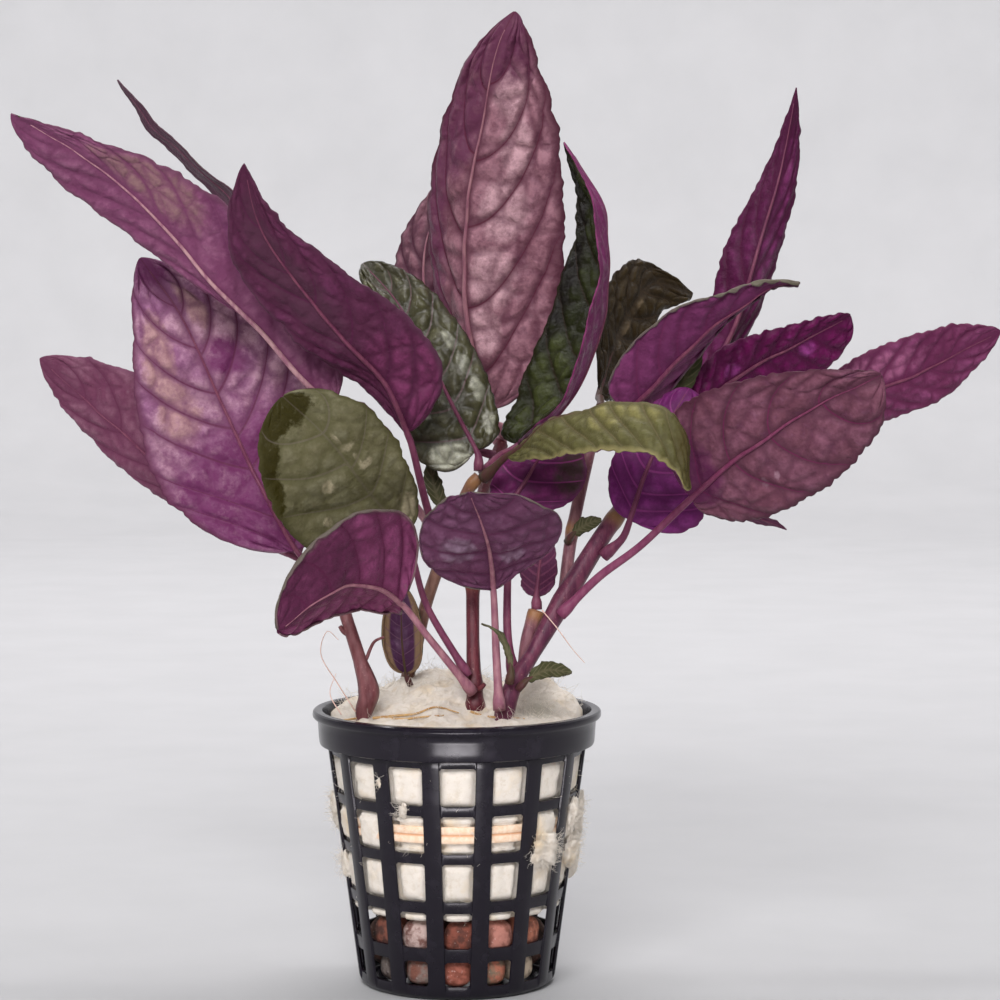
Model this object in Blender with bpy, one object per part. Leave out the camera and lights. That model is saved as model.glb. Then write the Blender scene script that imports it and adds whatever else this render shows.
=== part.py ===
"""A potted red flame ivy: an aquarium plant rooted in mineral wool in a black net pot.

The origin is the centre of the pot's base, +Z is up and the front faces -Y. Sizes are in metres.
"""

import math

import bmesh
import bpy
import numpy as np
from mathutils import Vector, noise

MM = 0.001
GAP = 0.35 * MM

# Net pot
POT_SECTORS = 15
POT_TURN = math.radians(1.1)
RIB_WIDTH = 3.2 * MM
POT_HEIGHT = 49.0 * MM
POT_WALL = 0.8 * MM
BASE_THICK = 1.6 * MM
LIP_RADIUS = 25.7 * MM
LIP_THICK = 1.4 * MM
RIM_BOTTOM = 43.0 * MM
RIM_RADIUS_TOP = 24.9 * MM
RIM_RADIUS_BOTTOM = 24.2 * MM
WALL_RADIUS_TOP = 23.1 * MM
FOOT_RADIUS = 17.6 * MM
FOOT_ROUND = 1.6 * MM
WINDOW_ROWS = [
    (2.6 * MM, 6.8 * MM),
    (9.4 * MM, 15.6 * MM),
    (17.8 * MM, 24.4 * MM),
    (26.4 * MM, 32.9 * MM),
    (34.9 * MM, 41.4 * MM),
]

# Mineral wool plug, tie band and pebbles
WOOL_BOTTOM = 14.2 * MM
WOOL_SHOULDER = 46.0 * MM
WOOL_EDGE = 48.2 * MM
# Each mound on the wool: its centre, its spread and its rise in millimetres
WOOL_MOUNDS = [(-3.0, 4.0, 13.0, 7.0), (15.0, 5.0, 7.0, 4.5)]
# The columns of windows, counted from the front one towards the right, that the wool bulges through
BULGE_COLUMNS = (2, 3, 4)
BULGE_INSET = 0.75 * MM
BULGE_REACH = 3.3 * MM
BAND_BOTTOM = 27.7 * MM
BAND_TOP = 31.4 * MM
BAND_THICK = 0.7 * MM
# Each pebble: its direction from the front in degrees, then in millimetres its distance and height,
# and half its size round the pot, outwards and upwards
PEBBLES = [
    (-48, 14.0, 4.7, 2.7, 2.7, 2.7), (-24, 14.0, 4.7, 2.7, 2.7, 2.7), (0, 14.0, 4.7, 2.7, 2.7, 2.7),
    (24, 14.0, 4.7, 2.7, 2.7, 2.7), (48, 14.0, 4.7, 2.7, 2.7, 2.7),
    (-49, 14.8, 10.8, 2.85, 2.8, 3.0), (-25, 14.8, 10.8, 2.85, 2.8, 3.0), (3, 14.8, 10.8, 2.85, 2.8, 3.0),
    (27, 14.8, 10.8, 2.85, 2.8, 3.0), (51, 14.8, 10.8, 2.85, 2.8, 3.0),
    (-91, 11.1, 7.3, 5.2, 5.2, 5.2), (91, 11.1, 7.3, 5.2, 5.2, 5.2), (-149, 11.1, 7.3, 5.2, 5.2, 5.2),
    (149, 11.1, 7.3, 5.2, 5.2, 5.2), (0, 4.5, 7.3, 5.2, 5.2, 5.2),
]
# The pebbles farther out than this are pressed against the wall and squarer than an ellipsoid, which is 2
PEBBLES_PACKED = 12.0
PEBBLE_SQUARENESS = 2.7

# Leaves
PETIOLE_RADIUS = 0.8 * MM
BLADE_THICK = 0.5 * MM
MIDRIB_THICK = 1.0 * MM
FLAT_FROM = 0.10

# Outline of a blade: how fast it widens from its base, and how slowly it narrows to its tip
OVATE = (0.60, 0.78)
EGG = (0.45, 0.75)
BROAD = (0.38, 0.55)
LANCE = (0.65, 1.05)
BLUNT = (0.45, 0.42)
KITE = (0.75, 0.80)


def clear_scene():
    for old in list(bpy.data.objects):
        bpy.data.objects.remove(old, do_unlink=True)


def material(name, colour, roughness, metallic=0.0):
    made = bpy.data.materials.new(name)
    made.use_nodes = True
    shader = made.node_tree.nodes["Principled BSDF"]
    shader.inputs["Base Color"].default_value = (*colour, 1.0)
    shader.inputs["Roughness"].default_value = roughness
    shader.inputs["Metallic"].default_value = metallic
    return made


def solid(name, points, faces, finish, smooth_degrees=50.0):
    """One object from points in metres and faces, with its faces turned outwards."""
    mesh = bpy.data.meshes.new(name)
    shape = bmesh.new()
    corners = [shape.verts.new(point) for point in points]
    for face in faces:
        shape.faces.new([corners[index] for index in face])
    bmesh.ops.recalc_face_normals(shape, faces=shape.faces)
    shape.to_mesh(mesh)
    shape.free()
    mesh.shade_smooth()
    mesh.set_sharp_from_angle(angle=math.radians(smooth_degrees))
    mesh.materials.append(finish)
    made = bpy.data.objects.new(name, mesh)
    bpy.context.scene.collection.objects.link(made)
    return made


def cut(target, cutter):
    """Takes the cutter's shape out of the target."""
    cutter.hide_render = True
    cutter.display_type = "WIRE"
    step = target.modifiers.new("cut " + cutter.name, "BOOLEAN")
    step.operation = "DIFFERENCE"
    step.solver = "EXACT"
    step.object = cutter


def smooth_curve(points, count):
    """Points spaced evenly along a Catmull-Rom curve, and the share of its length at each given point."""
    given = np.array(points, float)
    padded = np.vstack([2 * given[0] - given[1], given, 2 * given[-1] - given[-2]])
    steps = 24
    dense = []
    for before, start, end, after in zip(padded, padded[1:], padded[2:], padded[3:]):
        for t in np.arange(steps) / steps:
            dense.append(
                0.5 * (2 * start + (end - before) * t
                       + (2 * before - 5 * start + 4 * end - after) * t ** 2
                       + (3 * start - before - 3 * end + after) * t ** 3)
            )
    dense = np.array(dense + [given[-1]])
    run = np.concatenate([[0], np.cumsum(np.linalg.norm(np.diff(dense, axis=0), axis=1))])
    share = run / run[-1]
    wanted = np.linspace(0, 1, count) if isinstance(count, int) else np.asarray(count)
    even = np.stack([np.interp(wanted, share, dense[:, axis]) for axis in range(3)], axis=1)
    return even, share[::steps]


def tangents(path):
    along = np.gradient(path, axis=0)
    return along / np.linalg.norm(along, axis=1)[:, None]


def unit(vectors):
    return vectors / np.linalg.norm(vectors, axis=-1, keepdims=True)


def tube_rings(path, radii, sides=8):
    """Rings of points round a path, each turned as little as it can be from the one before."""
    along = tangents(path)
    across = unit(np.cross(along[0], (0.3, 1.0, 0.1)))
    rings = []
    for centre, direction, radius in zip(path, along, radii):
        across = unit(across - direction * np.dot(across, direction))
        other = np.cross(direction, across)
        turns = np.arange(sides) * 2 * math.pi / sides
        rings.append(centre + radius * (np.outer(np.cos(turns), across) + np.outer(np.sin(turns), other)))
    return rings


def skin(rings, tip=None):
    """Points and faces of a closed skin over rings of the same number of points, with an optional pointed end."""
    sides = len(rings[0])
    points = [tuple(point) for ring in rings for point in ring]
    faces = []
    for row in range(len(rings) - 1):
        for side in range(sides):
            after = (side + 1) % sides
            low, high = row * sides, (row + 1) * sides
            faces.append((low + side, low + after, high + after, high + side))
    faces.append(tuple(range(sides)))
    last = (len(rings) - 1) * sides
    if tip is None:
        faces.append(tuple(range(last, last + sides)))
    else:
        points.append(tuple(tip))
        faces += [(last + side, last + (side + 1) % sides, len(points) - 1) for side in range(sides)]
    return points, faces


def stem(name, route, radii, finish):
    """A stem along its route in millimetres, with a radius in millimetres at each of the route's points."""
    path, shares = smooth_curve(np.array(route, float) * MM, 2 * len(route) - 1)
    sizes = np.interp(np.linspace(0, 1, len(path)), shares, np.array(radii) * MM)
    return solid(name, *skin(tube_rings(path, sizes)), finish)


def stem_hole(name, route, radii):
    """The clearance that a stem needs where it goes down into the wool."""
    widened = np.array(radii, float) + GAP / MM
    start = np.array(route[0], float)
    route = [tuple(start - (np.array(route[1]) - start) * 0.12)] + route[1:]
    hole = stem(name, route, widened, None)
    return hole


def blade_width(share, outline):
    """Half width of a blade at a share of its length, 1 at its widest."""
    widen, narrow = outline
    widest = widen / (widen + narrow)
    top = widest ** widen * (1 - widest) ** narrow
    return np.clip(share, 0, 1) ** widen * np.clip(1 - share, 0, 1) ** narrow / top


def side_vectors(stations, progress):
    """The vector from the midrib to a margin at a place on the blade, from ones evenly spaced along it."""
    places = np.linspace(0, 1, len(stations))
    return np.array([np.interp(progress, places, axis) for axis in zip(*stations)]) * MM


def leaf(name, petiole, blade, left, right, outline, finish, rings=8):
    """A leaf: a round petiole that spreads into a thin blade.

    petiole and blade are points in millimetres from the foot to the tip, with the blade starting at
    the petiole's last point. left and right are the vectors from the midrib to the margins at the
    blade's widest, as someone looking at the upper face with the tip up sees them, given at places
    spaced evenly from the blade's base to its tip.
    """
    route = np.array(petiole + blade, float) * MM
    start = smooth_curve(route, 2)[1][len(petiole) - 1]
    petiole_shares = np.linspace(0, start, 3 if start > 0.12 else 2)
    along_blade = (1 - np.cos(np.linspace(0.45, math.pi, rings + 1))) / 2
    shares = np.concatenate([petiole_shares, start + (1 - start) * along_blade])
    path, _ = smooth_curve(route, shares)
    along = tangents(path)
    sections = []
    for point, direction, share in zip(path[:-1], along, shares):
        progress = max(0.0, (share - start) / (1 - start))
        to_left = side_vectors(left, progress)
        to_right = side_vectors(right, progress)
        upper = unit(np.cross(to_right - to_left, direction))
        side = unit(np.cross(direction, upper))
        width = float(blade_width(progress, outline))
        flat = min(1.0, progress / FLAT_FROM)
        round_size = PETIOLE_RADIUS * (1 - 0.45 * progress)
        left_edge = -side * round_size * (1 - flat) + to_left * width
        right_edge = side * round_size * (1 - flat) + to_right * width
        rise = round_size * (1 - flat) + 0.5 * MIDRIB_THICK * (1 - 0.5 * progress) * flat
        half = 0.707 * round_size * (1 - flat) + 0.5 * BLADE_THICK * flat
        spread = 0.707 * (1 - flat) + 0.55 * flat
        section = [
            left_edge, left_edge * spread + upper * half, upper * rise * (1 - 0.5 * flat),
            right_edge * spread + upper * half, right_edge, right_edge * spread - upper * half,
            -upper * rise, left_edge * spread - upper * half,
        ]
        sections.append(point + np.array(section))
    return solid(name, *skin(sections, path[-1]), finish, 80.0)


def wall_radius(height):
    """Outer radius of the pot's wall below the rim."""
    share = (height - FOOT_ROUND) / (RIM_BOTTOM - FOOT_ROUND)
    return FOOT_RADIUS + (WALL_RADIUS_TOP - FOOT_RADIUS) * share


def inner_radius(height):
    """Inner radius of the pot's wall."""
    if height < RIM_BOTTOM:
        return wall_radius(height) - POT_WALL
    share = (height - RIM_BOTTOM) / (POT_HEIGHT - RIM_BOTTOM)
    return WALL_RADIUS_TOP - POT_WALL + (RIM_RADIUS_TOP - WALL_RADIUS_TOP) * share


def sector_angles(height):
    """Two angles for each sector: where its window starts and where it ends."""
    pitch = 2 * math.pi / POT_SECTORS
    half = (pitch - RIB_WIDTH / wall_radius(min(height, RIM_BOTTOM))) / 2
    centres = [-math.pi / 2 + POT_TURN + pitch * index for index in range(POT_SECTORS)]
    return [angle for centre in centres for angle in (centre - half, centre + half)]


def net_pot():
    """The basket: a tapered wall with rows of windows, a deeper rim with a lip, and a flat base."""
    count = 2 * POT_SECTORS
    heights = [BASE_THICK] + [edge for row in WINDOW_ROWS for edge in row] + [RIM_BOTTOM]
    window_low = {1 + 2 * index for index in range(len(WINDOW_ROWS))}
    outer = [(wall_radius(height), height) for height in heights]
    inner = [(inner_radius(height), height) for height in heights]
    lip_bottom = POT_HEIGHT - LIP_THICK
    rim = [
        (RIM_RADIUS_BOTTOM, RIM_BOTTOM), (RIM_RADIUS_TOP, lip_bottom), (LIP_RADIUS, lip_bottom),
        (LIP_RADIUS, POT_HEIGHT), (inner_radius(POT_HEIGHT), POT_HEIGHT),
    ]
    foot = [(FOOT_RADIUS - FOOT_ROUND, 0.0), (FOOT_RADIUS, FOOT_ROUND * 0.9)]
    points, rings = [], []
    for radius, height in outer + rim + inner[::-1] + foot:
        rings.append(len(points))
        points += [(radius * math.cos(a), radius * math.sin(a), height) for a in sector_angles(height)]
    outer_rings = rings[:len(outer)]
    rim_rings = rings[len(outer):len(outer) + len(rim)]
    inner_rings = rings[len(outer) + len(rim):-len(foot)][::-1]
    foot_rings = rings[-len(foot):]

    def band(low, high, skip_windows=False):
        return [
            (low + i, low + (i + 1) % count, high + (i + 1) % count, high + i)
            for i in range(count) if not (skip_windows and i % 2 == 0)
        ]

    faces = []
    for row in range(len(heights) - 1):
        windows = row in window_low
        faces += band(outer_rings[row], outer_rings[row + 1], windows)
        faces += band(inner_rings[row], inner_rings[row + 1], windows)
        if windows:
            for i in range(0, count, 2):
                near, far = outer_rings[row], inner_rings[row]
                up_near, up_far = outer_rings[row + 1], inner_rings[row + 1]
                faces += [
                    (near + i, near + i + 1, far + i + 1, far + i),
                    (up_near + i, up_near + i + 1, up_far + i + 1, up_far + i),
                    (near + i, up_near + i, up_far + i, far + i),
                    (near + i + 1, up_near + i + 1, up_far + i + 1, far + i + 1),
                ]
    loops = [outer_rings[-1], *rim_rings, inner_rings[-1]]
    for low, high in zip(loops, loops[1:]):
        faces += band(low, high)
    faces += band(foot_rings[0], foot_rings[1]) + band(foot_rings[1], outer_rings[0])
    faces.append(tuple(inner_rings[0] + i for i in range(count)))
    faces.append(tuple(foot_rings[0] + i for i in range(count)))
    plastic = material("net_pot", (0.020, 0.018, 0.024), 0.42)
    return solid("net_pot", points, faces, plastic, 30.0)


def wool_height(x, y):
    """Height of the wool's top: mounds round the stems that flatten to the rim."""
    height = WOOL_EDGE + 0.9 * MM * noise.noise(Vector((x, y, 0.0)) * 160)
    for centre_x, centre_y, spread, rise in WOOL_MOUNDS:
        distance = math.hypot(x / MM - centre_x, y / MM - centre_y)
        height += rise * MM * math.exp(-(distance / spread) ** 2)
    return height


def wool_plug():
    """The wool: a plug that fits the pot, pinched where the band is tied, under an uneven mound."""
    count = 2 * POT_SECTORS
    pinch = BAND_THICK + GAP
    low, high = WINDOW_ROWS[2]
    band_low, band_high = BAND_BOTTOM - 0.6 * MM, BAND_TOP + 0.6 * MM
    levels = [
        (WOOL_BOTTOM, 1.6 * MM), (low, 0.0), (high, 0.0), (band_low, 0.0), (band_low + 0.2 * MM, pinch),
        (band_high - 0.2 * MM, pinch), (band_high, 0.0), (WOOL_SHOULDER, 0.2 * MM),
    ]
    points = []
    for height, inset in levels:
        for turn in sector_angles(height):
            radius = inner_radius(height) - 2 * GAP - inset
            points.append((radius * math.cos(turn), radius * math.sin(turn), height))
    for share in (0.98, 0.80, 0.56, 0.30):
        for turn in sector_angles(POT_HEIGHT):
            radius = (inner_radius(POT_HEIGHT) - 1.2 * MM) * share
            x, y = radius * math.cos(turn), radius * math.sin(turn)
            points.append((x, y, wool_height(x, y)))
    rows = len(points) // count
    faces = [
        (row * count + i, row * count + (i + 1) % count, (row + 1) * count + (i + 1) % count, (row + 1) * count + i)
        for row in range(rows - 1) for i in range(count)
    ]
    bulging = [count + 2 * column for column in BULGE_COLUMNS]
    faces.append(tuple(range(count)))
    faces.append(tuple(range((rows - 1) * count, rows * count)))
    for index in bulging:
        faces += bulge(points, faces[index])
    faces = [face for index, face in enumerate(faces) if index not in bulging]
    wool = material("wool_plug", (0.80, 0.71, 0.56), 0.95)
    return solid("wool_plug", points, faces, wool, 60.0)


def bulge(points, face):
    """The faces that replace one face of the wool by a bulge out of the window in front of it."""
    corners = [np.array(points[index]) for index in face]
    middle = sum(corners) / 4
    outwards = middle * (1, 1, 0) / np.linalg.norm(middle[:2])
    faces, loop = [], face
    for inset, reach in ((BULGE_INSET, 0.0), (BULGE_INSET, BULGE_REACH * 0.6), (2 * BULGE_INSET, BULGE_REACH)):
        shrink = 1 - inset / np.linalg.norm(corners[0] - middle) * 1.3
        first = len(points)
        points += [tuple(middle + (corner - middle) * shrink + outwards * reach) for corner in corners]
        inner = tuple(range(first, first + 4))
        faces += [(loop[i], loop[(i + 1) % 4], inner[(i + 1) % 4], inner[i]) for i in range(4)]
        loop = inner
    return faces + [loop]


def tie_band():
    """A flat band tied round the wool."""
    count = 2 * POT_SECTORS
    points = []
    middle = inner_radius((BAND_BOTTOM + BAND_TOP) / 2) - 3 * GAP
    for radius, height in (
        (middle, BAND_BOTTOM), (middle, BAND_TOP),
        (middle - BAND_THICK + GAP, BAND_TOP), (middle - BAND_THICK + GAP, BAND_BOTTOM),
    ):
        points += [(radius * math.cos(turn), radius * math.sin(turn), height) for turn in sector_angles(height)]
    faces = [
        (side * count + i, side * count + (i + 1) % count,
         (side + 1) % 4 * count + (i + 1) % count, (side + 1) % 4 * count + i)
        for side in range(4) for i in range(count)
    ]
    return solid("tie_band", points, faces, material("tie_band", (0.74, 0.45, 0.26), 0.7), 40.0)


def clay_pebbles():
    """Fired-clay pebbles on the pot's base: two layers packed against the wall in front, bigger ones behind."""
    clay = material("clay_pebble", (0.36, 0.15, 0.09), 0.85)
    for number, (direction, distance, height, across, outwards, upwards) in enumerate(PEBBLES, 1):
        packed = distance > PEBBLES_PACKED
        power = PEBBLE_SQUARENESS if packed else 2.0
        shape = bmesh.new()
        bmesh.ops.create_icosphere(shape, subdivisions=1 if packed else 2, radius=1.0)
        for vert in shape.verts:
            dent = 0.08 * (noise.noise(vert.co * 0.7 + Vector((number * 7.0, 0, 0))) - 0.6)
            size = (1 + dent) / sum(abs(value) ** power for value in vert.co) ** (1 / power)
            turn = math.radians(direction - 90)
            side, reach = vert.co.x * across * size, distance - vert.co.y * outwards * size
            if packed:
                turn += side / distance
                side = 0.0
            vert.co = Vector((
                reach * math.cos(turn) - side * math.sin(turn), reach * math.sin(turn) + side * math.cos(turn),
                height + vert.co.z * upwards * size,
            )) * MM
        mesh = bpy.data.meshes.new(f"clay_pebble_{number}")
        shape.to_mesh(mesh)
        shape.free()
        mesh.shade_smooth()
        mesh.materials.append(clay)
        pebble = bpy.data.objects.new(f"clay_pebble_{number}", mesh)
        bpy.context.scene.collection.objects.link(pebble)


STEMS = {
    "stem_left": (
        [(-15.4, -11, 42), (-16.2, -11, 49), (-15.2, -11.5, 53.5), (-16.8, -11, 59), (-18.8, -9.5, 65),
         (-21, -6, 71), (-23, -3, 74)],
        [1.1, 1.3, 1.9, 1.2, 1.1, 1.1, 1.2],
    ),
    "stem_olive": (
        [(-10, 3, 44.5), (-9, 3, 53.5), (-7.5, 2.5, 59), (-5.5, 1.5, 67.5), (-3, 0, 75), (-0.5, -1, 82.5),
         (2, -2, 88), (4, -2, 90.5)],
        [1.1, 1.2, 1.2, 1.1, 1.1, 1.0, 1.0, 1.0],
    ),
    "stem_tall": (
        [(3.5, -8, 42), (3.3, -8, 51), (2.9, -6, 62), (2.9, -3, 71.5), (3.2, 3, 80.5), (5, 12, 88), (7, 19, 93),
         (8, 21, 95)],
        [1.2, 1.4, 1.15, 1.2, 1.15, 1.1, 1.1, 1.2],
    ),
    "stem_short": (
        [(11.8, -6.6, 57.1), (12.5, -6, 62), (14.1, -4.6, 66.8)],
        [1.1, 1.2, 1.4],
    ),
    "stem_right_main": (
        [(7.5, -12, 42), (8.5, -12, 50), (10.5, -11, 55.5), (13.5, -9, 60), (18.5, -6, 68.5), (25.5, -2, 79.5),
         (30, 2, 85.5), (34, 6, 92.5), (36.5, 8, 97)],
        [1.2, 1.8, 1.5, 1.3, 1.9, 1.6, 1.5, 1.2, 1.1],
    ),
    "stem_right_branch": (
        [(19, -2, 70), (20.5, 2.5, 80), (23.5, 5, 94), (25.5, 6, 101.5)],
        [1.1, 1.1, 1.1, 1.0],
    ),
}
ROOTED_STEMS = ("stem_left", "stem_olive", "stem_tall", "stem_right_main")


def stems(wool):
    """The stems, and the holes that the rooted ones make in the wool."""
    bark = material("stem", (0.17, 0.050, 0.080), 0.45)
    for name, (route, radii) in STEMS.items():
        stem(name, route, radii, bark)
        if name in ROOTED_STEMS:
            cut(wool, stem_hole("hole_" + name, route[:4], radii[:4]))


def leaves():
    """The leaves, shoot by shoot from the left."""
    purple = material("leaf_purple", (0.14, 0.030, 0.085), 0.40)
    mauve = material("leaf_mauve", (0.36, 0.15, 0.19), 0.45)
    green = material("leaf_green", (0.10, 0.13, 0.055), 0.38)
    olive = material("leaf_olive", (0.055, 0.050, 0.025), 0.40)

    leaf("leaf_left_broad",
         petiole=[(-25, -1, 75.5), (-28.5, 1, 77)],
         blade=[(-35.5, 2, 89.5), (-42, 3, 103.5), (-49, 4, 118.5), (-56.5, 6, 129)],
         left=[(15, 5, 7), (13, 5, 6)],
         right=[(-15, -1, -2.5), (-15.2, -1, -6), (-14, -1, -6.2), (-12, -1, -7)], outline=EGG, finish=mauve)
    leaf("leaf_far_left",
         petiole=[(-24.6, 1.2, 75), (-28.5, 7, 75)],
         blade=[(-47, 16, 85), (-64.5, 24, 99), (-78, 30, 110.5)],
         left=[(8.6, -3, 11.8), (7.8, -3, 10.5)], right=[(-0.6, 2, -0.8), (-6, 4, -6.4)],
         outline=OVATE, finish=purple)
    leaf("leaf_left_spear",
         petiole=[(-3.6, -0.2, 80), (-10.5, -4, 89.5), (-22, -6, 102.5)],
         blade=[(-33, -8, 115), (-42, -11, 124.5), (-53.5, -15, 138), (-64.5, -20, 147), (-74.5, -25, 153)],
         left=[(12.5, -3, 13.8), (1.8, -3, 2.4)], right=[(3.5, 2.5, 4.1), (-8.6, 3, -10.2)],
         outline=OVATE, finish=purple)
    leaf("leaf_left_narrow",
         petiole=[(5.5, 16, 93.5), (2, 14, 94.5), (-3.5, 13, 96.5)],
         blade=[(-23, 15, 120), (-41.5, 20, 139.5), (-54.5, 25, 152), (-63, 29, 162)],
         left=[(0.6, -4, 0.5), (1.5, -3, 1.1)], right=[(-1.7, 4.5, -1.8), (-1.7, 4, -1.8)],
         outline=OVATE, finish=purple)
    leaf("leaf_left_inner",
         petiole=[(-2.6, -2.7, 77.9), (-5, -7, 85), (-7.5, -9, 95.5), (-8.5, -9.5, 98.5)],
         blade=[(-12, -13, 107), (-22.5, -19, 119), (-32, -25, 132.5), (-35, -30, 144.5)],
         left=[(14.5, -3, 6.5), (2.5, -2, 1.3)], right=[(-2.1, 3, -1.3), (-10.1, 3, -5.4)],
         outline=OVATE, finish=purple)
    leaf("leaf_green_left",
         petiole=[(1.4, -9.3, 57.1), (-5, -9, 68), (-7.5, -9, 76.5), (-9, -9, 81)],
         blade=[(-14.5, -15, 88), (-21.5, -21, 98), (-29.1, -24, 105.5)],
         left=[(-10.5, 0, -8.4), (-13.6, 0, -10.8)], right=[(5.5, -1, 4.3), (9.1, -1, 7.3)],
         outline=BROAD, finish=green)
    leaf("leaf_front_left",
         petiole=[(2.2, -10.4, 54.1), (-4.5, -14, 63), (-9.5, -16, 69.5)],
         blade=[(-14, -23, 73), (-20.5, -31, 73), (-29.5, -36, 67)],
         left=[(7, -3, 15), (-4, -5, 11)], right=[(0, 9, -5), (0, 9, -5)],
         outline=BROAD, finish=purple)
    leaf("leaf_folded_low",
         petiole=[(-8.7, -1, 54.3), (-9.1, -1, 55.6)],
         blade=[(-9.7, -1, 60.5), (-9.9, 0, 66), (-10.2, 1, 71)],
         left=[(3.7, -1.2, 0), (3.7, -1.2, 0)], right=[(-3.4, -1, 0), (-3.4, -1, 0)],
         outline=BROAD, finish=olive, rings=6)
    leaf("leaf_green_hidden",
         petiole=[(-2, 2, 81.5), (-2.5, 3, 84)],
         blade=[(-4, 3.5, 88), (-5, 4, 93.5)],
         left=[(-1.6, 0, 0), (-1.6, 0, 0)], right=[(1.6, 0, 0), (1.6, 0, 0)],
         outline=OVATE, finish=green, rings=5)
    leaf("leaf_green_glossy",
         petiole=[(3.9, -2, 92.8), (3.5, -1.5, 95)],
         blade=[(-0.5, 0, 102.5), (-5.5, 3, 112.5), (-11, 7, 121.5), (-17, 12, 128)],
         left=[(-9, -1, -10), (-4.4, -1, -1)], right=[(8, 1, 2.5), (5.6, 1, 4.3)],
         outline=BROAD, finish=green)
    leaf("leaf_front_centre",
         petiole=[(7.5, -15, 52), (7, -12, 60.5), (6.5, -11, 71.5)],
         blade=[(5.5, -20, 80.5), (2.5, -29, 89.5)],
         left=[(6.5, 1, 0), (18.5, 1, 2.5)], right=[(-12, -2, -2), (-11, -1, 1)],
         outline=KITE, finish=purple)

    leaf("leaf_centre_tall",
         petiole=[(8.2, 20.4, 97.4), (5.5, 19, 101.5)],
         blade=[(1.5, 17, 121), (2, 14, 139.5), (5, 11, 155.5), (7, 8, 165.5), (10.3, 6, 172.6)],
         left=[(19.5, -2, 0), (15.5, -2, 0)], right=[(-3.2, 11, 0), (-11.5, 8, 0)],
         outline=OVATE, finish=mauve)
    leaf("leaf_centre_back",
         petiole=[(7.4, 23.3, 95.4), (4, 29, 98), (1, 32, 102.5)],
         blade=[(-5.5, 36, 117.5), (-6.5, 39, 130.5), (-2.5, 41, 144)],
         left=[(9, 3, 0), (7, 3, 0)], right=[(-6, 6, 0), (-6, 4, 0)],
         outline=BROAD, finish=mauve)
    leaf("leaf_centre_folded",
         petiole=[(5.2, 0.2, 91.7), (7.5, 2, 94), (11, 3, 96)],
         blade=[(20, 3, 103.5), (25.5, 3, 116.5), (27, 3.5, 128.5), (25.5, 4, 139.5), (19, 5, 149.5)],
         left=[(-13.8, 3, 0), (-4.5, 2, 0)], right=[(-2.5, -10, 0), (-2.5, -6, 0)],
         outline=OVATE, finish=green)
    leaf("leaf_back_olive",
         petiole=[(25.8, 8.3, 102.1), (26, 17, 103.5), (26, 23, 104.5)],
         blade=[(30, 33, 115.5), (36, 41, 124), (44.5, 47, 122.5)],
         left=[(-2.5, 0, 10), (-2.5, 0, 5)], right=[(3, 0, -7), (3, 0, -7)],
         outline=OVATE, finish=olive)
    leaf("leaf_centre_low",
         petiole=[(9.8, -8.7, 57.5), (9, -6, 63), (9, -3, 71.5), (9.5, -1, 84)],
         blade=[(12.5, 0, 90), (15.5, 0, 95), (18.5, 1, 99.5)],
         left=[(9, -1, -3), (9, -1, -3)], right=[(-6, 0.8, 0), (-6, 0.8, 0)],
         outline=OVATE, finish=purple)
    leaf("leaf_green_arching",
         petiole=[(5.5, -4, 91), (9, -7, 94.5)],
         blade=[(15.5, -14, 100), (25, -22, 104), (34, -29, 104), (38.5, -31, 99), (39.5, -33, 90.5)],
         left=[(0, 6, -1), (0, 6, -1)], right=[(1, -6, -5), (-4, -6, -11)],
         outline=OVATE, finish=green)

    leaf("leaf_right_spear",
         petiole=[(36.9, 9.7, 98.5), (40.5, 13, 101), (43, 14, 104)],
         blade=[(50, 15, 116), (54.5, 17, 130.5), (59, 19, 146), (61.6, 20, 160)],
         left=[(2.8, 5, 0), (6.4, 4, 0)],
         right=[(-4.5, 5, 0), (-5.2, 4.5, 0), (-6.2, 4, 0), (-4.5, 3.5, 0), (-2.6, 3, 0)], outline=LANCE, finish=purple)
    leaf("leaf_right_upper",
         petiole=[(26.2, 3.7, 98.9), (29, 3, 100.5), (31, 2.5, 102)],
         blade=[(41, -2, 113), (49.5, -7, 120.3), (54.5, -9.5, 123.3), (59.5, -12, 124.5)],
         left=[(2.6, 6, -3.6), (-1, 2, 0.6)], right=[(-9.8, -2, 4), (-5.3, -2, 5), (-0.8, -2, 1.8)],
         outline=BROAD, finish=purple)
    leaf("leaf_right_blunt",
         petiole=[(36.3, 5.2, 92.5), (39, 7.5, 96.5), (41.5, 9.5, 101)],
         blade=[(51, 12, 108), (60.5, 14, 113), (71.2, 16, 118.8)],
         left=[(2.6, 4, -5.4), (3.2, 4, -8)], right=[(-2.8, -2, 8), (-0.8, -2, 1.8)],
         outline=BLUNT, finish=purple)
    leaf("leaf_far_right",
         petiole=[(33.1, 7.4, 90.1), (47.5, 16, 93), (61, 23, 98)],
         blade=[(74.5, 28, 103.5), (88, 33, 108.5), (102, 38, 115.5)],
         left=[(2, 3, -4.7), (3.6, 3, -7.2)], right=[(-2.3, -2, 5.5), (-3.2, -2, 8.6)],
         outline=OVATE, finish=purple)
    leaf("leaf_front_right",
         petiole=[(19.1, -9.3, 67.6), (25, -10, 73.5), (32, -12, 79), (40.5, -16, 87.5)],
         blade=[(48, -24, 95), (59.5, -31, 103.5), (70.6, -37, 109.5)],
         left=[(5.8, 4, -8.4), (7.8, 4, -14)], right=[(-10, -3, 13.8), (-1.8, -2, 4.2)],
         outline=BROAD, finish=mauve)
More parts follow.
